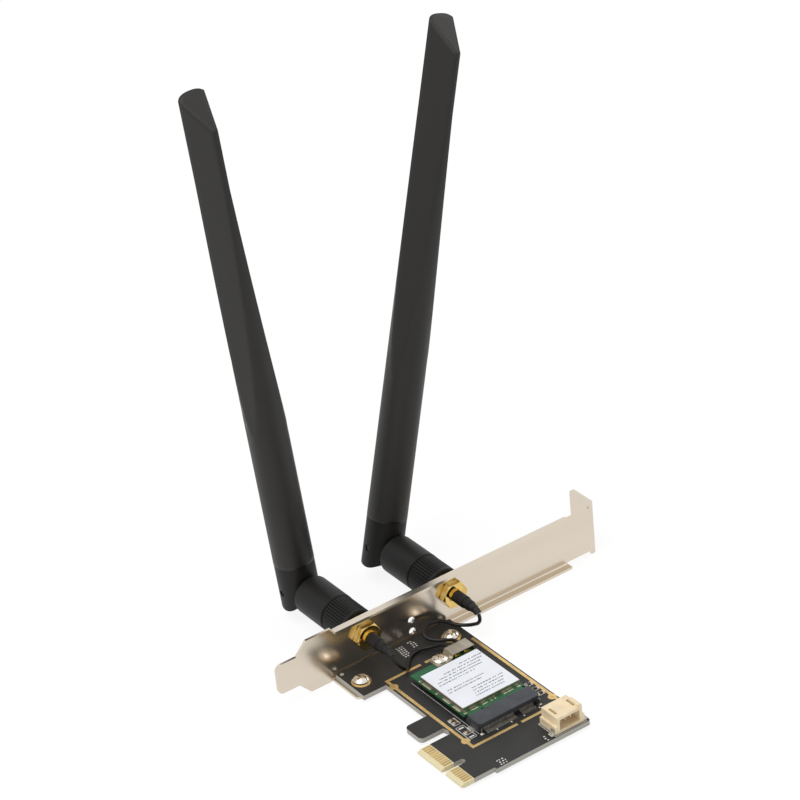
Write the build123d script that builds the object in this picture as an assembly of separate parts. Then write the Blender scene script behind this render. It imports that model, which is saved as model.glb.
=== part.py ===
from build123d import *
import os
from math import cos, pi, radians, sin, tan

# Frame: origin at the edge connector's datum, which is the key's centre line, at the tip, at mid board.
# +X runs up the card from the tip, +Y runs from the key to the bracket and outwards, +Z is the component side.

# Carrier board
BOARD_T = 1.6
BOARD_TOP_X = 45.9
BOARD_EDGE_X = 11.8
BOARD_FAR_Y = -9.5
FOOT_X = 3.7
FOOT_Y = 44.5
FINGERS_LONG = 11
FINGERS_SHORT = 7
FINGER_PITCH = 1.0
FINGER_W = 0.7
FINGER_MARGIN = 0.475
FINGER_TOP_X = 4.3
KEY_W = 1.9
KEY_DEPTH = 7.6
BEVEL_X = 1.3
BEVEL_Z = 0.5
HOOK_TIP_X = 3.8
HOOK_W = 8.1
HOOK_SLOT_W = 3.4
HOOK_SLOT_X = 12.2
HOOK_R = 1.5
CORNER_R = 0.8
COPPER_T = 0.05

# Ground trace on the component side
TRACE_W = 1.0
TRACE_LOW_X = 12.95
TRACE_HIGH_X = 44.95
TRACE_NEAR_Y = 45.7
TRACE_FAR_Y = 3.1
TRACE_GAP_X = 29.7
TRACE_GAP_W = 1.5
TRACE_END_X = 25.4
TRACE_ISLAND_X = 28.6
TRACE_ISLAND_W = 3.2
VIA_R = 0.6
VIA_RING_R = 1.35
VIA_INSET = 3.6

# Bracket
SHEET_T = 0.86
BEND_R = 0.5
PLATE_Y = 59.7
PLATE_GAP = 0.6
BRACKET_L = 120.0
BRACKET_W = 18.42
TAB_END_X = -16.0
TAB_W = 10.19
TAB_L = 7.4
TAB_TAPER_L = 3.9
TAB_R = 2.0
LIP_DEPTH = 2.4
LIP_START = 20.2
LIP_INSET = 11.8
LIP_END_R = 1.2
RELIEF = 1.3
FLANGE_DEPTH = 11.43
FLANGE_R = 1.8
NOTCH_R = 2.2
NOTCH_Y = 6.35
NOTCH_Z = 3.6
EAR_W = 9.0
EAR_L = 13.0
LIGHT_R = 1.15
LIGHT_X = 32.6
LIGHT_LOW = 2.3
LIGHT_PITCH = 4.0

# Board screws
SCREW_X = 7.4
SCREW_SPAN = 33.3
SCREW_SETBACK = 8.7
SCREW_R = 1.45
SCREW_HOLE_R = 1.65
SCREW_HEAD_R = 2.6
SCREW_HEAD_H = 1.9
SCREW_PAD_R = 3.05
RECESS_W = 0.85
RECESS_L = 3.2
RECESS_DEPTH = 1.0
CROWN_SHARE = 0.55
CROWN_MID_R = 0.72
CROWN_MID_H = 0.58
SCREW_TURNS = (20, 70)

# Radio module and its socket
MODULE_X = 29.1
MODULE_W = 22.0
MODULE_L = 30.0
MODULE_T = 0.8
MODULE_END_Y = 40.7
MODULE_LIFT = 1.6
MODULE_NECK_W = 19.85
MODULE_NECK_L = 3.4
MODULE_KEY_X = -4.9
MODULE_KEY_W = 1.2
MODULE_KEY_DEPTH = 3.0
MODULE_NOTCH_R = 1.75
MODULE_PAD_PITCH = 0.5
MODULE_PAD_W = 0.3
MODULE_PAD_L = 2.0
MODULE_PADS = 36
SHIELD_W = 20.9
SHIELD_L = 21.1
SHIELD_H = 1.6
SHIELD_T = 0.2
SHIELD_FAR_Y = 15.2
SHIELD_R = 0.6
LABEL_T = 0.1
LABEL_MARGIN = 0.15
SOCKET_W = 22.0
SOCKET_FAR_Y = 6.4
SOCKET_NEAR_Y = 13.9
SOCKET_H = 3.4
SOCKET_UNDERCUT = 1.3
SOCKET_UNDERCUT_H = 1.9
SOCKET_CLEAR = 0.05
SOCKET_KEY_CLEAR = 0.2
SOCKET_END_CHAMFER = 0.9
TAIL_W = 0.24
TAIL_L = 1.7
TAIL_T = 0.15
TAILS = 36
TAIL_SKIP_FROM = 22
TAIL_SKIP_TO = 26
SOCKET_TAB_L = 2.6
SOCKET_TAB_W = 0.9
SOCKET_TAB_T = 0.3
STANDOFF_R = 2.3
MODULE_SCREW_R = 0.95
MODULE_HEAD_R = 2.35
MODULE_HEAD_H = 1.3
MODULE_SCREW_TURN = 30

# Spring clip and coax connectors
CLIP_T = 0.25
CLIP_LOW_X = 26.4
CLIP_RAMP_X = 31.65
CLIP_TOP_X = 32.5
CLIP_HIGH_X = 40.1
CLIP_W = 4.6
CLIP_FAR_Y = 38.2
CLIP_H = 1.8
CLIP_HOLE_R = 1.1
COAX_X = 34.4
COAX_PITCH = 3.5
COAX_Y = 40.0
COAX_BASE = 2.5
COAX_BASE_T = 0.35
COAX_POST_R = 0.9
COAX_POST_H = 0.3
COAX_CAP_R = 1.2
COAX_CAP_H = 1.0
COAX_CAP_GAP = 0.02
COAX_CRIMP_R = 0.62
COAX_CRIMP_L = 3.0

# Cable header
HEADER_X = 39.1
HEADER_W = 10.6
HEADER_FAR_Y = -8.7
HEADER_D = 7.4
HEADER_H = 5.6
HEADER_STEP = 0.75
HEADER_STEP_H = 2.6
HEADER_WALL = 0.9
HEADER_FLOOR = 0.9
HEADER_ROOF = 1.0
HEADER_BACK = 1.8
HEADER_SLOT_W = 0.85
HEADER_SLOT_L = 3.4
HEADER_SLOT_Y = 1.9
HEADER_EAR_W = 1.3
HEADER_EAR_L = 4.8
HEADER_EAR_H = 0.95
HEADER_EAR_R = 0.4
PIN_COUNT = 4
PIN_PITCH = 2.0
PIN_W = 0.5
PIN_Z = 3.3
PIN_FREE = 0.9
PIN_TAIL_L = 1.4
HEADER_TAB_T = 0.2
HEADER_TAB_L = 1.5
HEADER_TAB_H = 1.9
HEADER_TAB_FOOT = 0.9
HEADER_TAB_Y = 0.5

# Chip parts by the socket
CHIP_X = 15.9
CHIP_Y = (9.6, 15.4, 17.1)
CHIP_L = 1.6
CHIP_W = 0.9
CHIP_H = 0.5

# Aerial jacks
JACK_X = 15.95
JACK_PITCH = 32.0
JACK_Z = 9.24
JACK_R = 3.1
JACK_HOLE_CLEAR = 0.1
JACK_L = 12.6
JACK_HEX_AF = 8.0
JACK_HEX_T = 2.4
HEX_CHAMFER = 0.35
JACK_NECK_R = 2.2
JACK_NECK_L = 0.6
JACK_CRIMP_R = 1.5
JACK_CRIMP_L = 4.0
JACK_BORE_R = 2.35
JACK_BORE_L = 4.0
JACK_CORE_R = 2.05
JACK_PIN_R = 0.46
JACK_PIN_OUT = 2.4
JACK_PIN_L = 6.0
WASHER_R = 4.6
WASHER_T = 0.5
NUT_T = 2.0
SLEEVE_R = 1.95
SLEEVE_L = 5.6
SLEEVE_WAIST_R = 1.35
SLEEVE_WAIST_L = 2.8
SLEEVE_TIP_R = 1.0
SLEEVE_TIP_L = 2.6
SLEEVE_DROOP = 50.0

# Coax pigtails
COAX_D = 1.13
COAX_EXIT_L = 1.6
COAX_ENTRY_L = 2.4
BEND_SHARE = 0.45

# Antennas
COUPLING_GAP = 0.4
COUPLING_R = 6.2
COUPLING_RIM = 1.1
COUPLING_BACK = 0.7
COUPLING_HOLE_R = 2.65
COUPLING_RELIEF_R = 3.7
KNURLS = 44
KNURL_DEPTH = 0.3
KNURL_SHARE = 0.55
INSERT_R = 4.6
RUN_CLEAR = 0.08
INSERT_FRONT = 0.5
FERRULE_NOSE_R = 2.27
FERRULE_NOSE_L = 1.7
FERRULE_COLLAR_R = 3.4
FERRULE_COLLAR_T = 0.45
FERRULE_STEM_R = 2.55
FERRULE_STEM_L = 6.0
FERRULE_BORE_R = 1.7
FERRULE_GAP = 0.15
CONTACT_R = 0.9
CONTACT_BORE_R = 0.54
CONTACT_BORE_L = 3.0
BASE_R = 6.3
BASE_GAP = 0.2
BASE_END_R = 0.9
PIVOT_OUT = 35.5
SHOULDER_GAP = 0.3
TONGUE_W = 4.8
TONGUE_R = 4.2
TONGUE_CLEAR = 0.25
HINGE_R = 1.0
HINGE_CLEAR = 0.05
HINGE_RECESS = 0.45
FORK_UP = 10.0
FORK_DOWN = 6.3
FORK_CORNER_R = 2.2
SPIGOT_R = 4.3
SPIGOT_L = 8.0
SPIGOT_CLEAR = 0.05
MAST_L = 169.8
MAST_R = 6.35
MAST_TIP_R = 6.0
BORE_CLEAR = 0.4
BLADE_FLAT = 2.75
BLADE_FADE_FLAT = 4.2
BLADE_ANGLE = 70.3
BLADE_FULL_L = 28.0
BLADE_FADE_L = 85.0
TIP_CUT_DROP = 8.9
TIP_FACE = 0.5
TIP_R = 0.7
FEED_R = 0.9
RADIATOR_R = 2.3
RADIATOR_L = 30.0
RADIATOR_WIRE_R = 0.6
RADIATOR_WIRE_L = 62.0
LEANS = {"left": -4.2, "right": 14.3}

# Values that follow from the driving sizes
FACE = BOARD_T / 2
PAD_FACE = FACE + COPPER_T
PLATE_OUT = PLATE_Y + SHEET_T
BRACKET_LOW = -FACE - SHEET_T
BRACKET_HIGH = BRACKET_LOW + BRACKET_W
BRACKET_END_X = TAB_END_X + BRACKET_L
BOARD_NEAR_Y = PLATE_Y - PLATE_GAP
TONGUE_LONG = (FINGERS_LONG - 1) * FINGER_PITCH + FINGER_W + 2 * FINGER_MARGIN
TONGUE_SHORT = (FINGERS_SHORT - 1) * FINGER_PITCH + FINGER_W + 2 * FINGER_MARGIN
TONGUE_NEAR_Y = KEY_W / 2 + TONGUE_LONG
TONGUE_FAR_Y = -KEY_W / 2 - TONGUE_SHORT
HOOK_FAR_Y = TONGUE_NEAR_Y + HOOK_SLOT_W
SCREW_Y = PLATE_Y - SCREW_SETBACK
MODULE_LOW = FACE + MODULE_LIFT
MODULE_TOP = MODULE_LOW + MODULE_T
MODULE_FAR_Y = MODULE_END_Y - MODULE_L
SHIELD_TOP = MODULE_TOP + SHIELD_H
CLIP_TOP = MODULE_TOP + CLIP_H
COAX_Z = MODULE_TOP + COAX_BASE_T + COAX_CAP_GAP + COAX_CAP_H / 2
COAX_END_Y = COAX_Y + COAX_CRIMP_L
HEADER_NEAR_Y = HEADER_FAR_Y + HEADER_D
NUT_OUT = SHEET_T + WASHER_T + NUT_T
COUPLING_START = NUT_OUT + COUPLING_GAP
COUPLING_END = JACK_L + FERRULE_GAP + FERRULE_COLLAR_T + FERRULE_GAP + COUPLING_BACK
BASE_START = COUPLING_END + BASE_GAP
SLEEVE_START = JACK_HEX_T + JACK_NECK_L
SLEEVE_WAIST = SLEEVE_START + SLEEVE_L + SLEEVE_WAIST_L
DROOP = radians(SLEEVE_DROOP)
DROOP_R = SLEEVE_TIP_L / DROOP
SLEEVE_TIP_Y = PLATE_Y - SLEEVE_WAIST - DROOP_R * sin(DROOP)
SLEEVE_TIP_Z = JACK_Z - DROOP_R * (1 - cos(DROOP))
EXIT_Y = SLEEVE_TIP_Y - COAX_EXIT_L * cos(DROOP)
EXIT_Z = SLEEVE_TIP_Z - COAX_EXIT_L * sin(DROOP)
JACK_SPOTS = {"left": JACK_X, "right": JACK_X + JACK_PITCH}
COAX_SPOTS = {"left": COAX_X, "right": COAX_X + COAX_PITCH}

# Free points of the two pigtails between the sleeve's tip and the coax plug
ROUTES = {
    "left": [
        (17.3, 44.4, 4.9),
        (19.0, 44.7, 2.6),
        (21.8, 47.0, 1.6),
        (24.8, 50.6, 1.5),
        (29.0, 51.5, 1.6),
        (31.9, 49.1, 2.3),
        (33.5, 47.0, 3.4),
    ],
    "right": [
        (48.05, 45.55, 4.85),
        (48.1, 48.1, 3.2),
        (47.2, 50.9, 2.1),
        (44.9, 53.6, 1.75),
        (43.6, 56.4, 2.4),
        (40.4, 57.0, 4.4),
        (35.8, 57.1, 5.0),
        (33.2, 55.6, 4.4),
        (32.9, 52.9, 3.0),
        (34.8, 50.3, 2.6),
        (37.0, 47.9, 3.1),
    ],
}


def block(low, high):
    """A box between two corners."""
    size = [b - a for a, b in zip(low, high)]
    return Pos(*low) * Box(*size, align=(Align.MIN, Align.MIN, Align.MIN))


def disc(radius, x, y, low, high):
    """An upright round between two heights."""
    return Pos(x, y, low) * Cylinder(radius, high - low, align=(Align.CENTER, Align.CENTER, Align.MIN))


def turned(*points):
    """A solid turned about Z from (radius, height) points."""
    outline = Plane.XZ * make_face(Polyline(*points, close=True))
    return revolve(outline, Axis.Z)


def outward(x, y):
    """A place on a jack's axis, with local Z pointing out of the card."""
    return Plane(origin=(x, y, JACK_Z), x_dir=(1, 0, 0), z_dir=(0, 1, 0)).location


def knuckle(side):
    """The place of an antenna's pivot: local X is the pin, local Y the jack's axis, local Z the mast."""
    return Location((JACK_SPOTS[side], PLATE_Y + PIVOT_OUT, JACK_Z), (0, LEANS[side], 0))


def pan_screw(shank_r, shank_l, head_r, head_h):
    """A domed cross-head screw with its seat at local Z 0."""
    crown = head_h * CROWN_SHARE
    rim = head_h - crown
    outline = [
        Line((0, -shank_l), (shank_r, -shank_l)),
        Line((shank_r, -shank_l), (shank_r, 0)),
        Line((shank_r, 0), (head_r, 0)),
        Line((head_r, 0), (head_r, rim)),
        ThreePointArc((head_r, rim), (head_r * CROWN_MID_R, rim + crown * CROWN_MID_H), (0, head_h)),
        Line((0, head_h), (0, -shank_l)),
    ]
    screw = revolve(Plane.XZ * make_face(outline), Axis.Z)
    scale = head_r / SCREW_HEAD_R
    slot = Box(RECESS_L * scale, RECESS_W * scale, 2 * RECESS_DEPTH * scale)
    return screw - Pos(0, 0, head_h) * (slot + Rot(0, 0, 90) * slot)


def hex_blank(low, high):
    """A hexagon between two heights whose corners are turned off at both ends."""
    corner_r = JACK_HEX_AF / 2 / cos(radians(30))
    edge_r = corner_r - 2 * HEX_CHAMFER
    hexagon = Pos(0, 0, low) * extrude(RegularPolygon(corner_r, 6), high - low)
    return hexagon & turned(
        (0, low),
        (edge_r, low),
        (corner_r, low + HEX_CHAMFER),
        (corner_r, high - HEX_CHAMFER),
        (edge_r, high),
        (0, high),
    )


# Bracket: one folded sheet
def bracket():
    flat_low = BRACKET_LOW + (BRACKET_W - TAB_W) / 2
    flat_high = flat_low + TAB_W
    taper_x = TAB_END_X + TAB_L
    full_x = taper_x + TAB_TAPER_L
    lip_start_x = TAB_END_X + LIP_START
    lip_stop_x = BRACKET_END_X - LIP_INSET
    slot_tab = Polyline(
        (TAB_END_X, flat_low),
        (taper_x, flat_low),
        (full_x, BRACKET_LOW),
        (lip_start_x, BRACKET_LOW),
        (lip_start_x, BRACKET_HIGH),
        (full_x, BRACKET_HIGH),
        (taper_x, flat_high),
        (TAB_END_X, flat_high),
        close=True,
    )
    tab_face = make_face(slot_tab)
    tab_corners = tab_face.vertices().group_by(Axis.X)[0]
    tab_face = fillet(tab_corners, TAB_R)
    plate_plane = Plane(origin=(0, PLATE_OUT, 0), x_dir=(1, 0, 0), z_dir=(0, -1, 0))
    tab = extrude(plate_plane * tab_face, SHEET_T)
    mid_y = PLATE_Y + SHEET_T / 2
    lip_y = PLATE_Y - LIP_DEPTH
    low_z = BRACKET_LOW + SHEET_T / 2
    high_z = BRACKET_HIGH - SHEET_T / 2
    fold_r = BEND_R + SHEET_T / 2
    channel_corners = [(lip_y, low_z), (mid_y, low_z), (mid_y, high_z), (lip_y, high_z)]
    channel_line = FilletPolyline(*channel_corners, radius=fold_r)
    channel_plane = Plane(origin=(lip_start_x, 0, 0), x_dir=(0, 1, 0), z_dir=(1, 0, 0))
    channel = extrude(channel_plane * trace(channel_line, SHEET_T), lip_stop_x - lip_start_x)
    end_x = BRACKET_END_X - SHEET_T / 2
    flange_y = PLATE_Y + FLANGE_DEPTH
    bend_line = FilletPolyline((lip_stop_x, mid_y), (end_x, mid_y), (end_x, flange_y), radius=fold_r)
    bend = Pos(0, 0, BRACKET_LOW) * extrude(trace(bend_line, SHEET_T), BRACKET_W)
    relief_stop_x = BRACKET_END_X - SHEET_T - BEND_R - SHEET_T
    for low, high in ((BRACKET_LOW, BRACKET_LOW + RELIEF), (BRACKET_HIGH - RELIEF, BRACKET_HIGH)):
        bend -= block((lip_stop_x, PLATE_Y, low), (relief_stop_x, PLATE_OUT, high))
    corners = bend.edges().filter_by(Axis.X).group_by(Axis.Y)[-1]
    bend = fillet(corners, FLANGE_R)
    notch_y = PLATE_Y + NOTCH_Y
    notch_z = BRACKET_LOW + NOTCH_Z
    notch_x = BRACKET_END_X - 2 * SHEET_T
    notch_rod = Pos(BRACKET_END_X, notch_y, notch_z) * Rot(0, 90, 0) * Cylinder(NOTCH_R, 4 * SHEET_T)
    notch_mouth = block(
        (notch_x, notch_y - NOTCH_R, BRACKET_LOW - SHEET_T),
        (BRACKET_END_X + SHEET_T, notch_y + NOTCH_R, notch_z),
    )
    bend -= notch_rod
    bend -= notch_mouth
    sheet = tab + channel + bend
    for i in range(2):
        x = SCREW_X + i * SCREW_SPAN
        ear = block(
            (x - EAR_W / 2, PLATE_Y - EAR_L, BRACKET_LOW),
            (x + EAR_W / 2, PLATE_Y - BEND_R, BRACKET_LOW + SHEET_T),
        )
        ear_corners = ear.edges().filter_by(Axis.Z).group_by(Axis.Y)[0]
        ear = fillet(ear_corners, LIP_END_R)
        sheet += ear
        sheet -= disc(SCREW_R, x, SCREW_Y, BRACKET_LOW, BRACKET_LOW + SHEET_T)
        light_z = LIGHT_LOW + i * LIGHT_PITCH
        sheet -= Pos(LIGHT_X, mid_y, light_z) * Rot(90, 0, 0) * Cylinder(LIGHT_R, 2 * SHEET_T)
    for x in JACK_SPOTS.values():
        sheet -= outward(x, mid_y) * Cylinder(JACK_R + JACK_HOLE_CLEAR, 2 * SHEET_T)
    return sheet


# Carrier board and its copper
def carrier_board():
    outline = Polyline(
        (BOARD_TOP_X, BOARD_FAR_Y),
        (BOARD_TOP_X, BOARD_NEAR_Y),
        (FOOT_X, BOARD_NEAR_Y),
        (FOOT_X, FOOT_Y),
        (BOARD_EDGE_X, FOOT_Y),
        (BOARD_EDGE_X, HOOK_FAR_Y + HOOK_W),
        (HOOK_TIP_X, HOOK_FAR_Y + HOOK_W),
        (HOOK_TIP_X, HOOK_FAR_Y),
        (BOARD_EDGE_X, HOOK_FAR_Y),
        (BOARD_EDGE_X, TONGUE_NEAR_Y),
        (0, TONGUE_NEAR_Y),
        (0, TONGUE_FAR_Y),
        (BOARD_EDGE_X, TONGUE_FAR_Y),
        (BOARD_EDGE_X, BOARD_FAR_Y),
        close=True,
    )
    face = make_face(outline)
    hook = face.vertices().filter_by_position(Axis.X, HOOK_TIP_X - COPPER_T, HOOK_TIP_X + COPPER_T)
    face = fillet(hook, HOOK_R)
    far = face.vertices().group_by(Axis.X)[-1]
    face = fillet(far, CORNER_R)
    board = Pos(0, 0, -FACE) * extrude(face, BOARD_T)
    slot_r = HOOK_SLOT_W / 2
    slot_y = TONGUE_NEAR_Y + slot_r
    slot_x = HOOK_SLOT_X - slot_r
    board -= block((BOARD_EDGE_X - slot_r, TONGUE_NEAR_Y, -FACE), (slot_x, HOOK_FAR_Y, FACE))
    board -= disc(slot_r, slot_x, slot_y, -FACE, FACE)
    key_r = KEY_W / 2
    board -= block((0, -key_r, -FACE), (KEY_DEPTH - key_r, key_r, FACE))
    board -= disc(key_r, KEY_DEPTH - key_r, 0, -FACE, FACE)
    bevel = make_face(Polyline((0, FACE), (BEVEL_X, FACE), (0, FACE - BEVEL_Z), close=True))
    wedge = Plane(origin=(0, TONGUE_NEAR_Y, 0), x_dir=(1, 0, 0), z_dir=(0, -1, 0)) * bevel
    wedge = extrude(wedge, TONGUE_NEAR_Y - TONGUE_FAR_Y)
    board -= wedge
    board -= mirror(wedge, about=Plane.XY)
    for i in range(2):
        board -= disc(SCREW_HOLE_R, SCREW_X + i * SCREW_SPAN, SCREW_Y, -FACE, FACE)
    return board


def edge_contacts():
    """The gold fingers on both faces of the edge connector."""
    first_long = KEY_W / 2 + FINGER_MARGIN + FINGER_W / 2
    spots = [first_long + i * FINGER_PITCH for i in range(FINGERS_LONG)]
    spots += [-first_long - i * FINGER_PITCH for i in range(FINGERS_SHORT)]
    fingers = []
    for y in spots:
        for low, high in ((FACE, PAD_FACE), (-PAD_FACE, -FACE)):
            fingers.append(block((BEVEL_X, y - FINGER_W / 2, low), (FINGER_TOP_X, y + FINGER_W / 2, high)))
    return fingers


def ground_trace():
    """The bare gold line round the module, with its ringed vias, and the pads under the board screws."""
    half = TRACE_W / 2
    low_x, high_x = TRACE_LOW_X, TRACE_HIGH_X
    near_y, far_y = TRACE_NEAR_Y, TRACE_FAR_Y
    gap_low = TRACE_GAP_X - TRACE_GAP_W / 2
    gap_high = TRACE_GAP_X + TRACE_GAP_W / 2

    def line(x0, y0, x1, y1):
        return block((x0 - half, y0 - half, FACE), (x1 + half, y1 + half, PAD_FACE))

    lower = line(low_x, far_y, low_x, near_y)
    lower += line(low_x, far_y, gap_low - half, far_y)
    lower += line(low_x, near_y, TRACE_END_X - half, near_y)
    upper = line(high_x, far_y, high_x, near_y)
    upper += line(gap_high + half, far_y, high_x, far_y)
    for y in (far_y + VIA_INSET, near_y - VIA_INSET):
        ring = disc(VIA_RING_R, low_x, y, FACE, PAD_FACE)
        hole = disc(VIA_R, low_x, y, FACE, PAD_FACE)
        lower = lower + ring - hole
    ring_x = min(high_x, BOARD_TOP_X - VIA_RING_R)
    upper = upper + disc(VIA_RING_R, ring_x, far_y + VIA_INSET, FACE, PAD_FACE)
    upper -= disc(VIA_R, ring_x, far_y + VIA_INSET, FACE, PAD_FACE)
    reach = TRACE_ISLAND_W / 2 - half
    island = line(TRACE_ISLAND_X - reach, near_y, TRACE_ISLAND_X + reach, near_y)
    pieces = [lower, upper, island]
    for i in range(2):
        x = SCREW_X + i * SCREW_SPAN
        pad_r = min(SCREW_PAD_R, SCREW_X - FOOT_X)
        pieces.append(disc(pad_r, x, SCREW_Y, FACE, PAD_FACE) - disc(SCREW_HOLE_R, x, SCREW_Y, FACE, PAD_FACE))
    return pieces


def board_screws():
    shank = PAD_FACE - BRACKET_LOW
    screw = pan_screw(SCREW_R, shank, SCREW_HEAD_R, SCREW_HEAD_H)
    screws = []
    for i, turn in enumerate(SCREW_TURNS):
        screws.append(Pos(SCREW_X + i * SCREW_SPAN, SCREW_Y, PAD_FACE) * Rot(0, 0, turn) * screw)
    return screws


# Module socket
def m2_socket():
    half = SOCKET_W / 2
    housing = block((MODULE_X - half, SOCKET_FAR_Y, FACE), (MODULE_X + half, SOCKET_NEAR_Y, FACE + SOCKET_H))
    top_ends = housing.edges().filter_by(Axis.Z).group_by(Axis.Y)[0]
    housing = chamfer(top_ends, SOCKET_END_CHAMFER)
    far_y = SOCKET_FAR_Y + SOCKET_UNDERCUT
    inner = half - SOCKET_END_CHAMFER
    housing -= block(
        (MODULE_X - inner, SOCKET_FAR_Y, FACE),
        (MODULE_X + inner, far_y, FACE + SOCKET_UNDERCUT_H),
    )
    neck = MODULE_NECK_W / 2 + SOCKET_CLEAR
    housing -= block(
        (MODULE_X - neck, MODULE_FAR_Y - SOCKET_CLEAR, MODULE_LOW - SOCKET_CLEAR),
        (MODULE_X + neck, SOCKET_NEAR_Y, MODULE_TOP + SOCKET_CLEAR),
    )
    key_x = MODULE_X + MODULE_KEY_X
    rib = MODULE_KEY_W / 2 - SOCKET_KEY_CLEAR
    rib_end = MODULE_FAR_Y + MODULE_KEY_DEPTH - MODULE_KEY_W / 2 - SOCKET_KEY_CLEAR
    housing += block(
        (key_x - rib, MODULE_FAR_Y - 2 * SOCKET_CLEAR, MODULE_LOW - 2 * SOCKET_CLEAR),
        (key_x + rib, rib_end, MODULE_TOP + 2 * SOCKET_CLEAR),
    )
    return housing


def m2_socket_contacts():
    """The solder tails in two groups along the free face."""
    start = MODULE_X - (TAILS - 1) * MODULE_PAD_PITCH / 2
    back = SOCKET_FAR_Y + SOCKET_UNDERCUT
    tails = []
    for i in range(TAILS):
        if TAIL_SKIP_FROM <= i < TAIL_SKIP_TO:
            continue
        x = start + i * MODULE_PAD_PITCH
        low_x, high_x = x - TAIL_W / 2, x + TAIL_W / 2
        tail = block((low_x, back - TAIL_L, FACE), (high_x, back, FACE + TAIL_T))
        tails.append(tail + block((low_x, back - TAIL_T, FACE), (high_x, back, FACE + SOCKET_UNDERCUT_H / 2)))
    return tails


def m2_socket_tabs():
    middle = (SOCKET_FAR_Y + SOCKET_NEAR_Y) / 2
    tabs = []
    for end in (-1, 1):
        inner = MODULE_X + end * SOCKET_W / 2
        outer = inner + end * SOCKET_TAB_W
        tabs.append(block(
            (min(inner, outer), middle - SOCKET_TAB_L / 2, FACE),
            (max(inner, outer), middle + SOCKET_TAB_L / 2, FACE + SOCKET_TAB_T),
        ))
    return tabs


# Radio module
def module_board():
    half = MODULE_W / 2
    neck = MODULE_NECK_W / 2
    shoulder_y = MODULE_FAR_Y + MODULE_NECK_L
    board = block((MODULE_X - half, shoulder_y, MODULE_LOW), (MODULE_X + half, MODULE_END_Y, MODULE_TOP))
    board += block((MODULE_X - neck, MODULE_FAR_Y, MODULE_LOW), (MODULE_X + neck, shoulder_y, MODULE_TOP))
    key_r = MODULE_KEY_W / 2
    key_x = MODULE_X + MODULE_KEY_X
    key_y = MODULE_FAR_Y + MODULE_KEY_DEPTH - key_r
    board -= block((key_x - key_r, MODULE_FAR_Y, MODULE_LOW), (key_x + key_r, key_y, MODULE_TOP))
    board -= disc(key_r, key_x, key_y, MODULE_LOW, MODULE_TOP)
    board -= disc(MODULE_NOTCH_R, MODULE_X, MODULE_END_Y, MODULE_LOW, MODULE_TOP)
    return board


def module_contacts():
    """The module's own fingers, which lie inside the socket."""
    start = MODULE_X - (MODULE_PADS - 1) * MODULE_PAD_PITCH / 2
    pad_t = SOCKET_CLEAR
    reach = MODULE_KEY_W / 2 + MODULE_PAD_W
    pads = []
    for i in range(MODULE_PADS):
        x = start + i * MODULE_PAD_PITCH
        if abs(x - MODULE_X - MODULE_KEY_X) < reach:
            continue
        low_y = MODULE_FAR_Y + MODULE_PAD_W
        pads.append(block(
            (x - MODULE_PAD_W / 2, low_y, MODULE_TOP),
            (x + MODULE_PAD_W / 2, low_y + MODULE_PAD_L, MODULE_TOP + pad_t),
        ))
    return pads


def module_shield():
    """The drawn can over the radio, open below."""
    half = SHIELD_W / 2
    near_y = SHIELD_FAR_Y + SHIELD_L
    can = block((MODULE_X - half, SHIELD_FAR_Y, MODULE_TOP), (MODULE_X + half, near_y, SHIELD_TOP))
    can = fillet(can.edges().filter_by(Axis.Z), SHIELD_R)
    return can - block(
        (MODULE_X - half + SHIELD_T, SHIELD_FAR_Y + SHIELD_T, MODULE_TOP),
        (MODULE_X + half - SHIELD_T, near_y - SHIELD_T, SHIELD_TOP - SHIELD_T),
    )


def module_label():
    half = SHIELD_W / 2 - LABEL_MARGIN
    return block(
        (MODULE_X - half, SHIELD_FAR_Y + LABEL_MARGIN, SHIELD_TOP),
        (MODULE_X + half, SHIELD_FAR_Y + SHIELD_L - LABEL_MARGIN, SHIELD_TOP + LABEL_T),
    )


def module_standoff():
    post = disc(STANDOFF_R, MODULE_X, MODULE_END_Y, FACE, MODULE_LOW)
    return post - disc(MODULE_SCREW_R, MODULE_X, MODULE_END_Y, FACE, MODULE_LOW)


def module_screw():
    seat = MODULE_TOP + CLIP_T
    screw = pan_screw(MODULE_SCREW_R, seat - FACE, MODULE_HEAD_R, MODULE_HEAD_H)
    return Pos(MODULE_X, MODULE_END_Y, seat) * Rot(0, 0, MODULE_SCREW_TURN) * screw


def coax_clip():
    """One bent strip: a lug under the module screw, a ramp, a roof over the plugs and a leg."""
    mid = CLIP_T / 2
    line = Polyline(
        (CLIP_LOW_X, MODULE_TOP + mid),
        (CLIP_RAMP_X, MODULE_TOP + mid),
        (CLIP_TOP_X, CLIP_TOP - mid),
        (CLIP_HIGH_X - mid, CLIP_TOP - mid),
        (CLIP_HIGH_X - mid, MODULE_TOP),
    )
    strip = Plane(origin=(0, CLIP_FAR_Y + CLIP_W, 0), x_dir=(1, 0, 0), z_dir=(0, -1, 0)) * trace(line, CLIP_T)
    clip = extrude(strip, CLIP_W)
    clip -= disc(CLIP_HOLE_R, MODULE_X, MODULE_END_Y, MODULE_TOP - CLIP_T, MODULE_TOP + 2 * CLIP_T)
    return clip


# Coax connectors on the module
def coax_receptacle(x):
    half = COAX_BASE / 2
    base = block((x - half, COAX_Y - half, MODULE_TOP), (x + half, COAX_Y + half, MODULE_TOP + COAX_BASE_T))
    top = MODULE_TOP + COAX_BASE_T
    return base + disc(COAX_POST_R, x, COAX_Y, top, top + COAX_POST_H)


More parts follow.
